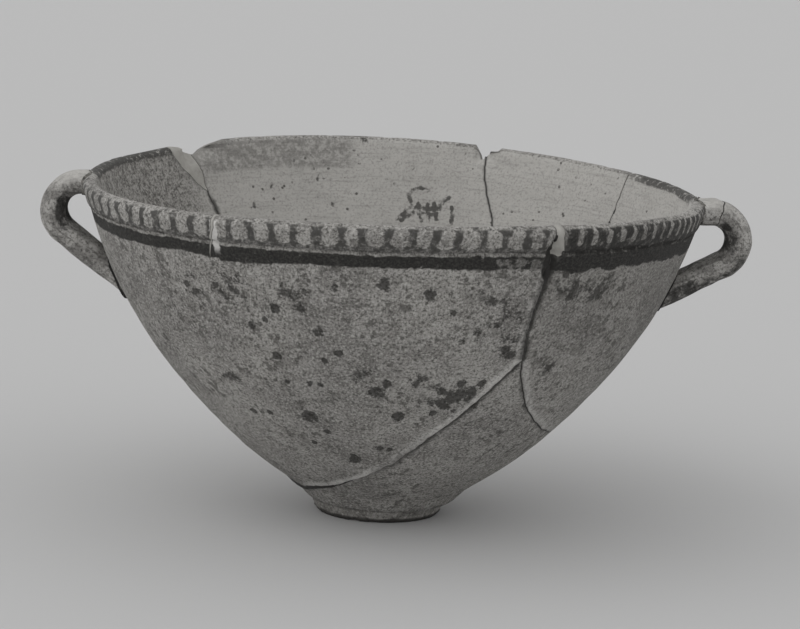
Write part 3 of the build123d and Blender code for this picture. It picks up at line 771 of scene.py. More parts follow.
def wall_clay():
    """The clay of the wall, outside, inside and over the lip, with its paint, spots and dirt, and painted
    shade on the right sherd.
    """
    material, add, shader, place = new_material("fired clay, thrown, painted and worn", 0.9, 0.25)
    rise, inner, chip, mark, dirt, smear = (
        add("Attribute", (), out="Fac", attribute_name=layer)
        for layer in ("rise", "inner", "chip", "mark", "dirt", "plaster")
    )
    x, y = (add("SeparateXYZ", (place,), out=axis) for axis in ("X", "Y"))
    angle = add("Math", (add("Math", (y, x), operation="ARCTAN2"), 180 / pi), **times)
    inside = add("MapRange", (inner, 0.86, 0.99), **ramp)
    outside = add("MapRange", (inner, 0.16, 0.02), **ramp)
    right_side = add("Math", (
        add("MapRange", (angle, -60.2, -59.7), **ramp), add("MapRange", (angle, 36, 34), **ramp),
    ), **times)

    # Cloudy firing over 30 mm, washed patches over 7 mm, and grains of a millimetre, drawn about
    # twice as coarse as the real temper so that they show
    flowing = add("VectorMath", (place, (0.05, 0.05, 1.0)), **times)
    noise = {
        size: add("TexNoise", {"Vector": place, "Scale": 1 / size, "Detail": detail, "Roughness": rough})
        for size, detail, rough in (
            (30, 3, 0.55), (14, 3, 0.6), (7, 5, 0.62), (3.4, 5, 0.68), (2.0, 4, 0.65), (0.8, 4, 0.78),
        )
    }
    wheel = add("TexNoise", {"Vector": flowing, "Scale": 1.3, "Detail": 4.0, "Roughness": 0.65})
    colour = {name: screen_colour(code) for name, code in (
        ("pale", clay_pale), ("plain", clay_plain), ("dull", clay_dull), ("core", clay_core),
        ("paint", paint_and_shade_dark), ("worn", paint_worn), ("stain_and_shade", stain_and_shade_dark), ("grit", grit_dark),
        ("plaster", plaster_smear),
    )}
    cloudy = add("MapRange", (noise[30], 0.35, 0.65), **ramp)
    body = add("Mix", {0: cloudy, 6: colour["dull"], 7: colour["plain"]}, **blend)
    washed = add("MapRange", (noise[7], 0.38, 0.62, 0, 0.36), **ramp)
    body = add("Mix", {0: washed, 6: body, 7: colour["pale"]}, **blend)
    body = add("Mix", {0: add("Math", (inside, 0.72), **times), 6: body, 7: colour["pale"]}, **blend)
    calm = add("Math", (inside, -0.62, 1.0), **times_plus)
    ridges = add("Math", (inside, 0.04, 0.16), **times_plus)
    for texture, none, full, most, share, shade in (
        (noise[0.8], 0.5, 0.61, 0.8, calm, "stain_and_shade"), (noise[0.8], 0.47, 0.36, 0.85, calm, "pale"),
        (wheel, 0.5, 0.68, 1, ridges, "stain_and_shade"),
    ):
        amount = add("MapRange", (texture, none, full, 0, most), **ramp)
        amount = add("Math", (amount, share), **times)
        body = add("Mix", {0: amount, 6: body, 7: colour[shade]}, **blend)

    # Dark bloom in smudges a few millimetres across with small round spots on the outside, and the
    # larger spots, which break up into specks at their edges
    gathered = add("MapRange", (noise[14], 0.44, 0.57), **ramp)
    smudge = add("MapRange", (noise[3.4], 0.52, 0.6, 0, 0.66), **ramp)
    spots = add("TexVoronoi", {"Vector": place, "Scale": 1 / 3.8}, out="Distance")
    spots = add("MapRange", (spots, 0.23, 0.15, 0, 0.7), **ramp)
    bloom = add("Math", (add("Math", (smudge, spots), **larger), gathered), **times)
    bloom = add("Math", (bloom, outside), **times)
    body = add("Mix", {0: bloom, 6: body, 7: colour["stain_and_shade"]}, **blend)
    broken_up = add("Math", (noise[0.8], 1.0, -1.5), **times_plus)
    broken_up = add("Math", (noise[2.0], 2.0, broken_up), **times_plus)
    broken_up = add("Math", (mark, 0.98, broken_up), **times_plus)
    marked = add("MapRange", (broken_up, 0.22, 0.85, 0, 0.8), **ramp)
    marked = add("Math", (marked, add("MapRange", (mark, 0.02, 0.2), **ramp)), **times)
    body = add("Mix", {0: marked, 6: body, 7: colour["grit"]}, **blend)
    # The right sherd's outside is darker towards the lip: partly its own darker tone, partly painted shade on
    # the side away from the lamp
    right_tone_and_shade = add("Math", (right_side, add("MapRange", (rise, 42, 88, 0, 0.24), **ramp)), **times)
    body = add("Mix", {0: add("Math", (right_tone_and_shade, outside), **times), 6: body, 7: colour["stain_and_shade"]}, **blend)

    # Inside: a few grits, a dark patch high on the left, and a crust of dirt on the left wall, laid
    # between two directions round the axis
    grits = add("TexVoronoi", {"Vector": place, "Scale": 1 / 4}, out="Distance")
    grits = add("MapRange", (grits, 0.16, 0.1), **ramp)
    grits = add("Math", (grits, add("MapRange", (noise[7], 0.48, 0.56, 0, 0.85), **ramp)), **times)
    left_turn = add("Math", (add("Math", (angle,), **unsigned), 180), **minus)
    soiled = add("MapRange", (left_turn, -49, -37, 0.0, 1), **ramp)
    crust = add("Math", (noise[2.0], 0.55, noise[0.8]), **times_plus)
    crust = add("MapRange", (crust, 0.68, 0.9, 0.25, 0.85), **ramp)
    patch = add("Math", (
        add("MapRange", (angle, 97, 102), **ramp), add("MapRange", (rise, 96.5, 98.5), **ramp),
    ), **times)
    patch = add("Math", (patch, add("MapRange", (noise[2.0], 0.35, 0.6, 0.1, 0.5), **ramp)), **times)
    inner_dirt = add("Math", (add("Math", (soiled, crust), **times), grits), **larger)
    inner_dirt = add("Math", (add("Math", (inner_dirt, patch), **larger), inside), **times)
    body = add("Mix", {0: inner_dirt, 6: body, 7: colour["stain_and_shade"]}, **blend)

    # The band under the groove: its edges wander with the brush, it runs lower right of the crack
    # and on the right sherd, and it is rubbed to grey left of the join
    wander = add("MapRange", (noise[14], 0.2, 0.8, -0.7, 0.7))
    level = add("Math", (rise, wander), **plus)
    level = add("Math", (level, add("MapRange", (noise[2.0], 0.2, 0.8, -0.5, 0.5))), **plus)
    run_down = add("Math", (right_side, add("MapRange", (noise[7], 0.3, 0.7, 0.3, 1.9))), **times)
    step_down = add("Math", (
        add("MapRange", (angle, -122.6, -122.1, 0, 0.9), **ramp),
        add("MapRange", (angle, -104, -118), **ramp),
    ), **times)
    lower = add("Math", (level, add("Math", (run_down, step_down), **plus)), **plus)
    above_edge = add("MapRange", (lower, band_low - 0.3, band_low + 0.3), **ramp)
    band = add("Math", (
        above_edge, add("MapRange", (level, band_high + 0.3, band_high - 0.2), **ramp),
    ), **times)
    bare = add("Math", (
        add("MapRange", (angle, -71.5, -69.5), **ramp), add("MapRange", (angle, -60.2, -60.8), **ramp),
    ), **times)
    bare = add("Math", (bare, add("MapRange", (level, band_high - 0.5, band_high - 0.9), **ramp)), **times)
    rubbed = add("Math", (bare, 0.14, noise[3.4]), **times_plus)
    band = add("Math", (band, add("MapRange", (rubbed, 0.72, 0.58, 0.3, 1), **ramp)), **times)

    # The bars on the collar, brushed down from the lip and closer together on the right, with a worn
    # wash of the same paint under their feet
    closer = degrees((bar_pitch - tight_bar_pitch) / bar_radius)
    pitch = add("Math", (right_side, -closer, degrees(bar_pitch / bar_radius)), **times_plus)
    turn = add("Math", (add("Math", (angle, 360), **plus), pitch), operation="DIVIDE")
    turn = add("Math", (turn, add("MapRange", (noise[14], 0.2, 0.8, -0.3, 0.3))), **plus)
    off_bar = add("Math", (add("Math", (turn,), operation="FRACT"), 0.5), **minus)
    off_bar = add("Math", (off_bar,), **unsigned)
    above_foot = add("Math", (level, add("Math", (right_side, 0.4, bar_low), **times_plus)), **minus)
    half_width = add("Math", (right_side, 0.16, 0.17), **times_plus)
    for wider in (
        add("MapRange", (above_foot, 1.1, 0, 0, 0.36), **ramp),
        add("MapRange", (level, 105.4, 107.4, 0, 0.14), **ramp),
        add("MapRange", (noise[3.4], 0.3, 0.7, -0.08, 0.1)),
    ):
        half_width = add("Math", (half_width, wider), **plus)
    bars = add("MapRange", (add("Math", (half_width, off_bar), **minus), -0.05, 0.07), **ramp)
    solid = add("Math", (right_side, 0.12, 0.84), **times_plus)
    wash = add("MapRange", (above_foot, 1.0, 0.2, 0, 0.1), **ramp)
    wash = add("Math", (wash, add("Math", (1, right_side), **minus), noise[2.0]), **times_plus)
    fade = add("MapRange", (wash, 0.7, 0.5, 0.35, 1), **ramp)
    below_lip = add("MapRange", (level, bar_high + 0.6, bar_high), **ramp)
    above_groove = add("MapRange", (level, band_high + 0.75, band_high + 1.25), **ramp)
    above_groove = add("Math", (above_groove, right_side), **larger)
    for share in (solid, fade, below_lip, above_groove, above_edge):
        bars = add("Math", (bars, share), **times)

    # The line on the lip, thick at the left back and the right back, and thin along the back
    left_back = add("MapRange", (angle, 120, 136), **ramp)
    right_back = add("Math", (
        add("MapRange", (angle, -2, 5), **ramp), add("MapRange", (angle, 40, 28), **ramp),
    ), **times)
    thick = add("Math", (left_back, right_back), **larger)
    lip_width = add("Math", (thick, 0.25, 0.45), **times_plus)
    past_line = add("Math", (inner, lip_width), **minus)
    on_lip = add("Math", (
        add("MapRange", (inner, 0.25, 0.4), **ramp), add("MapRange", (past_line, 0.2, 0.05), **ramp),
    ), **times)
    inward_lip = add("MapRange", (inner, 0.3, 0.5), **ramp)
    inside_lip = add("Math", (add("MapRange", (level, 105.1, 105.9), **ramp), inward_lip), **times)
    inside_lip = add("Math", (inside_lip, thick), **times)
    lip_area = add("Math", (on_lip, inside_lip), **larger)
    behind = add("MapRange", (y, -20, 10, 0.0, 0.09), **ramp)
    rubbed = add("Math", (noise[2.0], add("Math", (thick, 0.09, behind), **times_plus)), **minus)
    lip_line = add("Math", (lip_area, add("MapRange", (rubbed, 0.47, 0.34, 0, 0.85), **ramp)), **times)

    on_collar = add("MapRange", (inner, 0.42, 0.24), **ramp)
    bars = add("Math", (bars, on_collar), **times)
    band = add("Math", (band, outside), **times)
    paint = add("Math", (add("Math", (bars, band), **larger), lip_line), **larger)
    thin = add("MapRange", (noise[0.8], 0.4, 0.66), **ramp)
    worn = add("Mix", {0: thin, 6: colour["paint"], 7: colour["worn"]}, **blend)
    body = add("Mix", {0: paint, 6: body, 7: worn}, **blend)

    # Plaster smeared beside the breaks and over the crack in the rim, chips, and dirt in the breaks
    crack = add("Math", (add("Math", (angle, 122.5), **plus),), **unsigned)
    crack = add("Math", (crack, add("MapRange", (noise[3.4], 0.3, 0.7, -0.45, 0.45))), **plus)
    crack = add("MapRange", (crack, 0.85, 0.5), **ramp)
    for share in (
        add("MapRange", (level, 95.5, 98), **ramp), add("MapRange", (inner, 0.3, 0.1), **ramp),
    ):
        crack = add("Math", (crack, share), **times)
    patched = add("Math", (smear, add("MapRange", (noise[2.0], 0.74, 0.54, 0.45, 1), **ramp)), **times)
    patched = add("Math", (patched, add("MapRange", (noise[0.8], 0.62, 0.46, 0.5, 1), **ramp)), **times)
    patched = add("Math", (patched, crack), **larger)
    for cover, most, shade in ((patched, 0.8, "plaster"), (chip, 0.7, "core"), (dirt, 0.9, "grit")):
        amount = add("Math", (cover, most), **times)
        body = add("Mix", {0: amount, 6: body, 7: colour[shade]}, **blend)
    roughness = add("Math", (paint, -0.22, 0.92), **times_plus)
    shader.id_data.links.new(roughness, shader.inputs["Roughness"])
    height = add("Math", (wheel, 0.5, noise[0.8]), **times_plus)
    dress(shader, add, body, height, 0.45)
    return material


def broken_clay():
    """The open core of the clay on a break: paler, coarse and never painted, so it looks crumbly."""
    material, add, shader, place = new_material("fired clay, broken", 0.95, 0.2)
    coarse = add("TexNoise", {"Vector": place, "Scale": 0.8, "Detail": 5.0, "Roughness": 0.75})
    colour = add("Mix", {0: coarse, 6: screen_colour(stain_and_shade_dark), 7: screen_colour(clay_core)}, **blend)
    dress(shader, add, colour, coarse, 0.8, 0.0006)
    return material


clay, core = wall_clay(), broken_clay()
sherd_runs = {
    "base_sherd": ("lower_right", "rear_corner", "lower_rear", "diagonal"),
    "left_sherd": (
        "front_top", "front", "-diagonal", "-rear_left", "-fill_left", ("fill_left", "crack_left"),
        "crack_left", "-crack_right", ("crack_right", "front_top"),
    ),
    "right_sherd": ("inner_right", "-lower_right", "-front", "-splinter", ("splinter", "inner_right")),
    "rear_centre_sherd": (
        "fill_right", "rear_left", "-lower_rear", "-rear_right", ("rear_right", "fill_right"),
    ),
    "rear_right_sherd": ("rear_right", "-rear_corner", "-inner_right", ("inner_right", "rear_right")),
}
for name, runs in sherd_runs.items():
    sherd = wall_piece(name + "_clay", *outline(*runs), join_gap / 2, [clay, core])
    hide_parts(name)
    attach(sherd, "root")

# Plaster fills: gypsum pressed into what is lost at the rim, trimmed flush with the clay and toned
# to suit it. The eye gets a paler, finer and flatter surface than the clay's.
plaster_white, plaster_grey = "#bab8b3", "#86847f"


def plaster():
    """Set gypsum, toned: slow grey clouds, and a fine tooth where it was trimmed."""
    material, add, shader, place = new_material("gypsum plaster, trimmed and toned", 0.95, 0.2)
    cloud = add("TexNoise", {"Vector": place, "Scale": 1 / 3.5, "Detail": 5.0, "Roughness": 0.65})
    colour = add(
        "Mix", {0: cloud, 6: screen_colour(plaster_grey), 7: screen_colour(plaster_white)}, **blend,
    )
    fine = add("TexNoise", {"Vector": place, "Scale": 1.6, "Detail": 4.0, "Roughness": 0.7})
    dress(shader, add, colour, fine, 0.5)
    return material


filler = plaster()
fill_runs = {
    "rear_left_fill": ("fill_left", "-fill_right", ("fill_right", "fill_left")),
    "collar_splinter_fill": ("splinter", "-front_top", ("front_top", "splinter")),
    "rim_crack_fill": ("crack_right", "-crack_left", ("crack_left", "crack_right")),
}
for name, runs in fill_runs.items():
    fill = wall_piece(name + "_plaster", *outline(*runs), 0.03, [filler])
    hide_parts(name)
    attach(fill, "root")

# Adhesive in the breaks: resin brushed on both edges, aged dark and filled with dirt. It lies a
# little below the clay, so the eye gets a thin dark line.
join_half_width, join_recess = 0.55, 0.16
adhesive_worn, adhesive_dark = "#343230", "#1a1918"


def old_resin():
    """Aged resin, nearly black, with a faint shine where it is clean."""
    material, add, shader, place = new_material("resin adhesive, aged and dirty", 0.7, 0.4)
    cloud = add("TexNoise", {"Vector": place, "Scale": 1 / 2.2, "Detail": 4.0, "Roughness": 0.65})
    colour = add(
        "Mix", {0: cloud, 6: screen_colour(adhesive_dark), 7: screen_colour(adhesive_worn)}, **blend,
    )
    shader.id_data.links.new(colour, shader.inputs["Base Color"])
    return material


resin = old_resin()


def strip(names):
    """A narrow strip of the map along some breaks that follow each other."""
    line = np.concatenate([
        breaks[name] if place == 0 else breaks[name][1:] for place, name in enumerate(names)
    ])
    angle, reach, lip = line.T
    radius = outer_profile(reach)[0][:, 0]
    way = np.stack([np.gradient(reach), np.gradient(np.unwrap(angle)) * radius], axis=1)
    way /= np.linalg.norm(way, axis=1)[:, None]
    shift = np.stack([-way[:, 1], way[:, 0] / radius], axis=1) * join_half_width
    level = lip > 0
    shift[level, 0] = 0
    right = np.stack([angle - shift[:, 1], reach - shift[:, 0], lip], axis=1)
    left = np.stack([angle + shift[:, 1], reach + shift[:, 0], lip], axis=1)
    at_rim = np.zeros(2 * len(line), bool)
    at_rim[-1] = level[0]
    return np.concatenate([right, left[::-1]]), at_rim


join_lines = {"front_join": ("front_top", "front")}
for name in (
    "inner_right", "rear_right", "rear_left", "lower_right", "rear_corner", "lower_rear", "diagonal",
):
    join_lines[name + "_join"] = (name,)
for name, names in join_lines.items():
    join = wall_piece(name + "_resin", *strip(names), 0, [resin], recess=join_recess)
    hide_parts(name)
    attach(join, "root")

# The foot: a low disc of the same clay, turned separately and luted under the bowl, a little waisted
# and cut flat below. Its lower edge is worn to a bevel; painted shade darkens that bevel and the join
# above it, where the foot meets the bowl.
foot_brim, foot_waist, foot_edge, foot_bevel, foot_lap, foot_shift = 21.9, (21.1, 2.8), 20.5, 1.0, 0.04, -0.9
foot_around, foot_side_rows = 300, 16
foot_pale, foot_plain, foot_dark = "#8c8a86", "#74726e", "#2d2b29"


def foot_clay():
    """The same clay, rubbed smooth on the side, with painted shade where it meets the bowl and along the worn
    bevel.
    """
    material, add, shader, place = new_material("fired clay, turned and worn foot", 0.9, 0.25)
    height = add("SeparateXYZ", (place,), out="Z")
    chip = add("Attribute", (), out="Fac", attribute_name="chip")
    cloud = add("TexNoise", {"Vector": place, "Scale": 0.16, "Detail": 5.0, "Roughness": 0.65})
    fine = add("TexNoise", {"Vector": place, "Scale": 1.0, "Detail": 4.0, "Roughness": 0.75})
    patchy = add("MapRange", (cloud, 0.4, 0.62), **ramp)
    body = add("Mix", {0: patchy, 6: screen_colour(foot_plain), 7: screen_colour(foot_pale)}, **blend)
    for none, full, most, shade in ((0.5, 0.62, 0.6, foot_dark), (0.46, 0.34, 0.7, clay_pale)):
        amount = add("MapRange", (fine, none, full, 0, most), **ramp)
        body = add("Mix", {0: amount, 6: body, 7: screen_colour(shade)}, **blend)
    # Painted shade: a dark band where the foot meets the bowl and a darker one along the bevel, joined in one
    # mask
    uneven = add("Math", (cloud, 1.6, height), **times_plus)
    crease_shade = add("MapRange", (uneven, 4.7, 5.1, 0, 0.3), **ramp)
    bevel = add("MapRange", (uneven, 2.7, 2.0, 0, 0.9), **ramp)
    dirt = add("Math", (crease_shade, bevel), **larger)
    body = add("Mix", {0: dirt, 6: body, 7: screen_colour(foot_dark)}, **blend)
    body = add("Mix", {
        0: add("Math", (chip, 0.6), **times), 6: body, 7: screen_colour(foot_pale),
    }, **blend)
    dress(shader, add, body, fine, 0.5)
    return material


def rings_closed(rings, around):
    """Faces that join rings of points into a skin, with the first and last ring filled in."""
    faces = []
    for ring in range(rings - 1):
        for step in range(around):
            after = (step + 1) % around
            low, high = ring * around, (ring + 1) * around
            faces.append((low + step, low + after, high + after, high + step))
    faces.append(tuple(range(around))[::-1])
    faces.append(tuple(range((rings - 1) * around, rings * around)))
    return faces


side_points = [(foot_edge, foot_bevel), foot_waist, (foot_brim, seat_level - foot_lap)]
side = smooth_line(side_points, (-0.3, 1), (1.2, 1), foot_side_rows)
under = [(radius, 0) for radius in np.linspace(1, foot_edge - foot_bevel, 14)]
bevel = [(foot_edge - foot_bevel * (1 - share), foot_bevel * share) for share in (0.2, 0.4, 0.6, 0.8)]
above = [(radius, seat_level - foot_lap) for radius in (18, 10, 1)]
profile = np.array([*under, *bevel, *side, *above])
angle = np.arange(foot_around) / foot_around * 2 * pi
plain = turned(np.tile(angle, len(profile)), np.repeat(profile, foot_around, axis=0))
from_axis = np.hypot(plain[:, 0], plain[:, 1])
outward = np.stack([plain[:, 0], plain[:, 1], 0 * plain[:, 2]], axis=1) / from_axis[:, None]
on_side = ease(foot_edge - 2.5, foot_edge - 1, from_axis)
edge = on_side * ease(2.4, 0.4, np.abs(plain[:, 2] - 0.5))
chip = edge * np.clip(grain(plain, 3.1, 41) - 0.15, 0, 1)
corners = plain + (foot_shift, 0, 0) + outward * (on_side * thrown(plain, 0.7) - 0.8 * chip)[:, None]
hollows = 0.16 * (1 - on_side) * (plain[:, 2] < 0.01) * (1 + grain(plain, 5, 42))
corners[:, 2] += on_side * 0.5 * chip + hollows
foot_piece = mesh_of(
    "foot_clay", corners, rings_closed(len(profile), foot_around), [foot_clay()],
    [0] * ((len(profile) - 1) * foot_around + 2), {"chip": chip},
)
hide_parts("foot")
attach(foot_piece, "root")

# The handles: pulled straps of the same clay, thick and rounded, bent over from the lip and pressed
# on to the wall below it. Both keep finger marks and worn paint. The right one was broken across
# the top of its bend and stuck together again.
strap_width, strap_thickness, strap_bend, strap_squareness = 13.0, 8.6, 9.0, 2.5
strap_shapes = {"left": (8.9, 4.2, 36.5, -1), "right": (11.1, 5.0, 28.6, 1)}
strap_inside, strap_run_on, strap_step, strap_around = 94.0, 42.0, 0.25, 72
strap_sunk, strap_row, lip_lap = 1.3, 0.55, 0.45
mend_turn, mend_gap = radians(17), 0.3
# Half widths and half thicknesses, as shares, from where the middle leaves the lip (0) to where it
# meets the wall (1)
width_shares = (
    (-0.12, 1.5), (0, 1.38), (0.06, 1.22), (0.14, 1.07), (0.28, 1), (0.8, 1), (0.92, 1.06), (1, 1.16),
    (1.1, 1.34), (1.25, 1.5),
)
outer_shares = ((0, 1), (0.8, 1), (0.95, 0.94), (1.1, 0.9), (1.25, 0.9))
inner_shares = ((-0.12, 0.95), (0.1, 0.9), (0.22, 0.95), (0.4, 1), (0.88, 1), (1, 1.08), (1.1, 1.2))


def handle_clay():
    """The same clay with what is left of its paint, dark in the bend, with painted shade on the right strap's
    outer face past the bend and painted light on the upper face near the lip.
    """
    material, add, shader, place = new_material("fired clay, pulled, painted and worn", 0.88, 0.27)
    along, out, chip, right = (
        add("Attribute", (), out="Fac", attribute_name=layer) for layer in ("along", "out", "chip", "right")
    )
    cloud, blotch, fine = (
        add("TexNoise", {"Vector": place, "Scale": 1 / size, "Detail": detail, "Roughness": rough})
        for size, detail, rough in ((7, 4, 0.6), (2.3, 5, 0.68), (0.9, 4, 0.75))
    )
    patchy = add("MapRange", (cloud, 0.38, 0.62, 0.1, 0.8), **ramp)
    body = add("Mix", {0: patchy, 6: screen_colour(clay_dull), 7: screen_colour(clay_pale)}, **blend)
    across = add("CombineXYZ", (add("Math", (out, 3.2), **times), add("Math", (along, 3.0), **times)))
    streak = add("TexNoise", {"Vector": across, "Scale": 1.0, "Detail": 4.0, "Roughness": 0.6})
    for texture, none, full, most, shade in (
        (streak, 0.5, 0.62, 0.5, stain_and_shade_dark), (fine, 0.48, 0.62, 0.72, stain_and_shade_dark),
        (fine, 0.42, 0.3, 0.5, clay_pale),
    ):
        amount = add("MapRange", (texture, none, full, 0, most), **ramp)
        body = add("Mix", {0: amount, 6: body, 7: screen_colour(shade)}, **blend)

    # Paint: in the bend, and on the right handle also above the wall. Behind the mend, on the right handle's
    # outer face, the dark is painted shade where that face turns down from the lamp
    in_bend = add("MapRange", (out, 0.15, -0.45), **ramp)
    for none, full in ((0.1, 0.2), (0.62, 0.36)):
        in_bend = add("Math", (in_bend, add("MapRange", (along, none, full), **ramp)), **times)
    low = add("Math", (right, add("MapRange", (out, -0.4, 0.0), **ramp)), **times)
    for none, full in ((0.7, 0.82), (1.08, 0.96)):
        low = add("Math", (low, add("MapRange", (along, none, full), **ramp)), **times)
    # Painted shade: the right handle's outer face past the bend, turned down and away from the lamp, is
    # darkened
    under = add("Math", (add("MapRange", (out, 0.1, 0.5), **ramp), right), **times)
    under = add("Math", (under, add("MapRange", (along, 0.3, 0.5, 0, 0.55), **ramp)), **times)
    paint_and_painted_shade = add("Math", (add("Math", (in_bend, low), **larger), under), **larger)
    kept = add("Math", (paint_and_painted_shade, 0.26, blotch), **times_plus)
    paint = add("MapRange", (kept, 0.52, 0.78, 0, 0.85), **ramp)
    body = add("Mix", {0: paint, 6: body, 7: screen_colour(paint_and_shade_dark)}, **blend)
    # Painted light: the upper face of the strap near the lip is made paler, as where the lamp falls on it
    rubbed = add("Math", (
        add("MapRange", (along, 0.24, 0.08), **ramp), add("MapRange", (out, 0.1, 0.7), **ramp),
    ), **times)
    for cover, most, shade in ((rubbed, 0.55, clay_pale), (chip, 0.8, clay_core)):
        amount = add("Math", (cover, most), **times)
        body = add("Mix", {0: amount, 6: body, 7: screen_colour(shade)}, **blend)
    dress(shader, add, body, fine, 0.5)
    return material


def wall_depth(points):
    """How far some points lie inside the cup, if it were filled to its lip."""
    angle, radius = np.arctan2(points[:, 1], points[:, 0]), np.hypot(points[:, 0], points[:, 1])
    height = points[:, 2] - warped(angle, points[:, 2])
    outer_arc = lip_profile(41)
    outer_arc = outer_arc[: int(np.argmax(outer_arc[:, 1])) + 1]
    below = outer_line[outer_line[:, 1] < lip_outside[1]]
    skin = np.concatenate([below, outer_arc])
    reach = np.interp(height, skin[:, 1], skin[:, 0])
    slope = np.interp(height, outer_line[:, 1], outer_ways[:, 1])
    return np.minimum((reach - radius) * slope, skin[-1, 1] - height)


def strap_skin(side):
    """Lengthwise lines round a strap, each a row of points, and how far along they are, from 0 to 1."""
    standout, drop, fall, hand = strap_shapes[side]
    level, turn = cup_height - drop, pi - radians(fall)
    bend_place = rim_radius + standout - strap_bend
    flat, arc = bend_place - strap_inside, strap_bend * turn
    run = np.arange(0, flat + arc + strap_run_on, strap_step)
    swept = np.clip((run - flat) / strap_bend, 0, turn)
    beyond = np.clip(run - flat - arc, 0, None)
    radius = np.minimum(strap_inside + run, bend_place) + strap_bend * np.sin(swept) + beyond * cos(turn)
    height = level - strap_bend + strap_bend * np.cos(swept) - beyond * sin(turn)
    middle = np.stack([radius * hand, 0 * radius, height], axis=1)
    depth = wall_depth(middle)
    leaves = run[np.argmax(depth < 0)]
    meets = run[len(run) - np.argmax(depth[::-1] < 0)]
    along = (run - leaves) / (meets - leaves)
    spin = np.arange(strap_around) / strap_around * 2 * pi
    power = 2 / strap_squareness
    across = np.sign(np.cos(spin)) * np.abs(np.cos(spin)) ** power
    up = np.sign(np.sin(spin)) * np.abs(np.sin(spin)) ** power
    half_width = strap_width / 2 * np.interp(along, *zip(*width_shares))
    outer = strap_thickness / 2 * np.interp(along, *zip(*outer_shares))
    inner = strap_thickness / 2 * np.interp(along, *zip(*inner_shares))
    lip_top = cup_height + warped(np.array([0.0 if hand > 0 else pi]), np.array([cup_height]))[0]
    flush = (lip_top + lip_lap - level) / (strap_thickness / 2)
    outer *= flush + (1 - flush) * ease(0, 0.34, along)
    outer -= 0.13 * np.clip(leaves - run, 0, None) ** 2
    thick = np.where(up[:, None] > 0, outer[None], inner[None]) * up[:, None]
    lines = np.stack([
        (radius + np.sin(swept) * thick) * hand,
        across[:, None] * half_width[None] * hand,
        height + np.cos(swept) * thick,
    ], axis=-1)
    return run, along, lines, up, flat + strap_bend * mend_turn


def line_ends(run, lines, sunk):
    """Where each lengthwise line goes into the wall at its two ends, to a depth."""
    deep = wall_depth(lines.reshape(-1, 3)).reshape(lines.shape[:2]) > sunk
    within_lip = np.hypot(lines[:, :, 0], lines[:, :, 1]) < crest[0] - 0.5
    middle = len(run) // 2
    first = np.array([middle - np.argmax(row[:middle][::-1]) for row in deep | within_lip])
    last = np.array([middle + np.argmax(row[middle:]) for row in deep])
    return run[first], run[last]


def strap_piece(name, skin, start, end, materials, side, open_start=False, open_end=False):
    """A length of strap between two rings, closed with a flat face at each end."""
    run, along, lines, up, mend = skin
    rows = max(3, int((end - start).mean() / strap_row))
    share = np.linspace(0, 1, rows)
    where = start[None] + (end - start)[None] * share[:, None]
    points = np.stack([
        np.stack([np.interp(where[:, line], run, lines[line, :, axis]) for axis in range(3)], axis=1)
        for line in range(strap_around)
    ], axis=1)
    along_points = np.interp(where, run, along)
    flat_points = points.reshape(-1, 3)
    ahead, around = np.gradient(points, axis=0), np.roll(points, -1, axis=1) - np.roll(points, 1, axis=1)
    out = np.cross(ahead, around)
    out /= np.linalg.norm(out, axis=2)[:, :, None] + 1e-9
    middle = points.mean(axis=1, keepdims=True)
    out *= np.sign(np.sum(out * (points - middle), axis=(1, 2)))[:, None, None]
    near_mend = np.abs(where - mend) if side == "right" else np.full_like(where, 9.0)
    chip = ease(1.5, 0.2, near_mend).ravel() * np.clip(0.45 + grain(flat_points, 1.6, 51), 0, 1)
    lift = 0.28 * grain(flat_points, 9, 52) + 0.14 * grain(flat_points, 3.2, 53) - 0.4 * chip
    points = points + out * lift.reshape(rows, strap_around, 1)
    faces = rings_closed(rows, strap_around)
    face_material = [0] * (len(faces) - 2) + [len(materials) - 1] * 2
    sharp = []
    for is_open, ring in ((open_start, 0), (open_end, rows - 1)):
        if is_open:
            base = ring * strap_around
            sharp += [(base + step, base + (step + 1) % strap_around) for step in range(strap_around)]
    layers = {
        "along": along_points.ravel(), "out": np.tile(up, rows), "chip": chip,
        "right": np.full(rows * strap_around, float(side == "right")),
    }
    return mesh_of(name, points.reshape(-1, 3), faces, materials, face_material, layers, sharp)


painted_clay = handle_clay()
skins = {side: strap_skin(side) for side in strap_shapes}
ends = {side: line_ends(skins[side][0], skins[side][2], strap_sunk) for side in strap_shapes}
spin = np.arange(strap_around) / strap_around * 2 * pi
round_strap = np.stack([np.cos(spin) * 6, np.sin(spin) * 4, np.zeros(strap_around)], axis=1)
mend = np.full(strap_around, skins["right"][4]) + 0.35 * grain(round_strap, 2.0, 54)
handle_pieces = (
    ("left_handle", "left_handle_clay", "left", *ends["left"], [painted_clay], "handle_clay"),
    ("right_handle_root", "right_handle_root_clay", "right", ends["right"][0], mend - mend_gap / 2,
     [painted_clay, core], "handle_clay"),
    ("right_handle_loop", "right_handle_loop_clay", "right", mend + mend_gap / 2, ends["right"][1],
     [painted_clay, core], "handle_clay"),
)
for replaced, name, side, start, end, materials, slot in handle_pieces:
    piece = strap_piece(
        name, skins[side], start, end, materials, side, replaced.endswith("loop"), replaced.endswith("root"),
    )
    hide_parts(replaced)
    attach(piece, "root")
run, along, lines, up, _ = skins["right"]
narrowed = lines.mean(axis=0)[None] + (lines - lines.mean(axis=0)[None]) * 0.955
piece = strap_piece(
    "right_handle_join_resin", (run, along, narrowed, up, 1e3), mend - mend_gap / 2 - 0.05,
    mend + mend_gap / 2 + 0.05, [resin], "right",
)
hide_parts("right_handle_join")
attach(piece, "root")

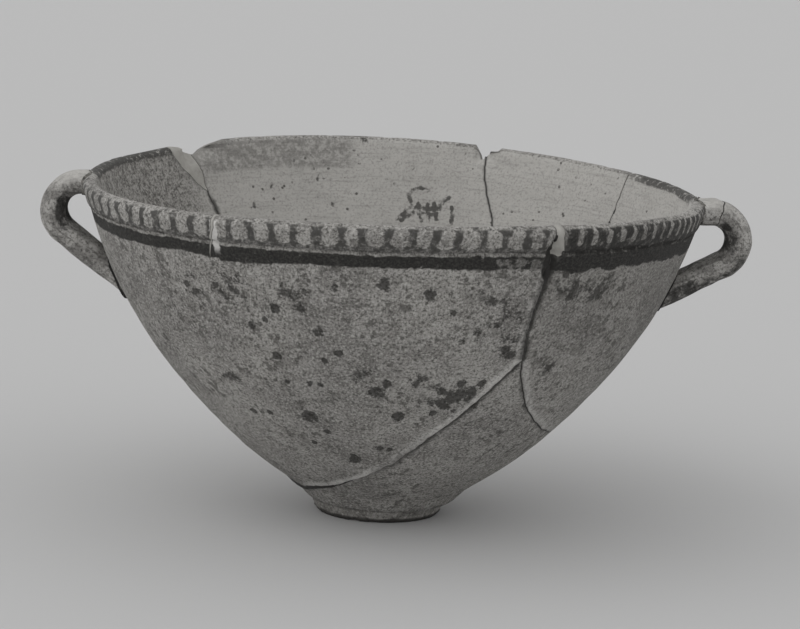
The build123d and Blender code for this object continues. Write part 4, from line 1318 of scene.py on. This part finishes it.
# Slip round the roots of the handles: liquid clay pressed out when the strap was set on the wall,
# wiped to a small hollow curve, dark in patches, and darker low down with painted shade
slip_leg, slip_rows, slip_sunk, slip_lap = 1.7, 9, 0.45, 0.08
slip_plain, slip_dark = "#75736e", "#262524"


def luting_slip():
    """Dried and fired slip: the clay's own grey, dark in rough patches, and darker on the lower rings with
    painted shade.
    """
    material, add, shader, place = new_material("fired slip, wiped round a joint", 0.92, 0.25)
    coarse = add("TexNoise", {"Vector": place, "Scale": 0.6, "Detail": 5.0, "Roughness": 0.7})
    # Painted shade: the rings lower down, under the handles, are darkened
    low = add("MapRange", (add("SeparateXYZ", (place,), out="Z"), 84, 76, 0, 0.16))
    patchy_and_shaded = add("MapRange", (add("Math", (coarse, low), **plus), 0.44, 0.6), **ramp)
    colour = add(
        "Mix", {0: patchy_and_shaded, 6: screen_colour(slip_plain), 7: screen_colour(slip_dark)}, **blend,
    )
    dress(shader, add, colour, coarse, 0.5)
    return material


slip_clay = luting_slip()


def line_points(run, lines, where):
    """A point on each lengthwise line, at that line's own distance along it."""
    return np.stack([
        [np.interp(place, run, line[:, axis]) for axis in range(3)] for place, line in zip(where, lines)
    ])


def slip_ring(name, skin, at_start):
    """A ring of slip in the corner between a strap and the wall."""
    run, _, lines, _, _ = skin
    starts, stops = line_ends(run, lines, 0)
    where = starts if at_start else stops
    points = line_points(run, lines, where)
    middle = line_points(run, [lines.mean(axis=0)] * strap_around, where)
    nudge = 1.0 if at_start else -1.0
    lengthwise = line_points(run, lines, where + nudge) - points
    lengthwise /= np.linalg.norm(lengthwise, axis=1)[:, None]
    from_strap = points - middle
    from_strap -= np.sum(from_strap * lengthwise, axis=1)[:, None] * lengthwise
    from_strap /= np.linalg.norm(from_strap, axis=1)[:, None]
    small = 0.05
    slopes = np.stack([
        (wall_depth(points + small * step) - wall_depth(points - small * step)) / (2 * small)
        for step in np.eye(3)
    ], axis=1)
    from_wall_out = -slopes / (np.linalg.norm(slopes, axis=1)[:, None] + 1e-9)
    facing = np.sum(from_strap * from_wall_out, axis=1)[:, None]
    up_strap = from_wall_out - facing * from_strap
    up_wall = from_strap - facing * from_wall_out
    up_strap /= np.linalg.norm(up_strap, axis=1)[:, None] + 1e-9
    up_wall /= np.linalg.norm(up_wall, axis=1)[:, None] + 1e-9
    leg = slip_leg * (0.75 + 0.35 * grain(points, 3.5, 61))[:, None]
    leg = np.where(points[:, 2:] > cup_height - 5, leg * 0.5, leg)
    high = points + up_strap * leg - slip_lap * from_strap
    low = points + up_wall * leg - slip_lap * from_wall_out
    hollow = points + 0.16 * leg * (up_strap + up_wall)
    rows = []
    for share in np.linspace(0, 1, slip_rows):
        row = (1 - share) ** 2 * high + 2 * share * (1 - share) * hollow + share**2 * low
        rows.append(row + from_wall_out * (0.12 * 4 * share * (1 - share) * grain(row, 1.4, 62))[:, None])
    rows.append(low - slip_sunk * from_wall_out)
    rows.append(points - 0.8 * slip_sunk * (from_strap + from_wall_out))
    rows.append(high - slip_sunk * from_strap)
    corners = np.stack(rows, axis=1)
    around = corners.shape[1]
    faces = []
    for line in range(strap_around):
        after = (line + 1) % strap_around
        for row in range(around):
            below = (row + 1) % around
            near, far = line * around, after * around
            faces.append((near + row, far + row, far + below, near + below))
    piece = mesh_of(name, corners.reshape(-1, 3), faces, [slip_clay], [0] * len(faces), {})
    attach(piece, "root")
    return piece


for side in strap_shapes:
    for at_start, place_name in ((True, "rim"), (False, "wall")):
        piece = slip_ring(f"{side}_handle_{place_name}_slip_ring", skins[side], at_start)
        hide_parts(f"{side}_handle_{place_name}_slip")

# The stage, which is no part of the cup: a plain pale board under it, lit by one broad soft lamp from
# the upper left and by the room's even light, so that shadows are wide and faint. Metres here.
table_colour, table_half = "#c2c2c2", 4
lamp_strength, lamp_spread, lamp_way, room_light = 0.9, radians(100), (-0.78, -0.5, 0.45), 0.75
floor_mesh = bpy.data.meshes.new("table_top")
table_corners = [(x * table_half, y * table_half, 0) for x, y in ((-1, -1), (1, -1), (1, 1), (-1, 1))]
floor_mesh.from_pydata(table_corners, [], [(0, 1, 2, 3)])
floor = bpy.data.objects.new("table_top", floor_mesh)
bpy.context.collection.objects.link(floor)
material, add, shader, place = new_material("matt board", 0.9, 0.3)
shader.inputs["Base Color"].default_value = screen_colour(table_colour)
floor_mesh.materials.append(material)
sun = bpy.data.lights.new("soft lamp", "SUN")
sun.energy, sun.angle = lamp_strength, lamp_spread
lamp = bpy.data.objects.new("soft lamp", sun)
lamp.rotation_euler = Vector(lamp_way).to_track_quat("Z", "Y").to_euler()
bpy.context.collection.objects.link(lamp)
world = bpy.data.worlds.new("even light")
bpy.context.scene.world = world
world.use_nodes = True
background = world.node_tree.nodes["Background"]
background.inputs["Color"].default_value = (1, 1, 1, 1)
background.inputs["Strength"].default_value = room_light
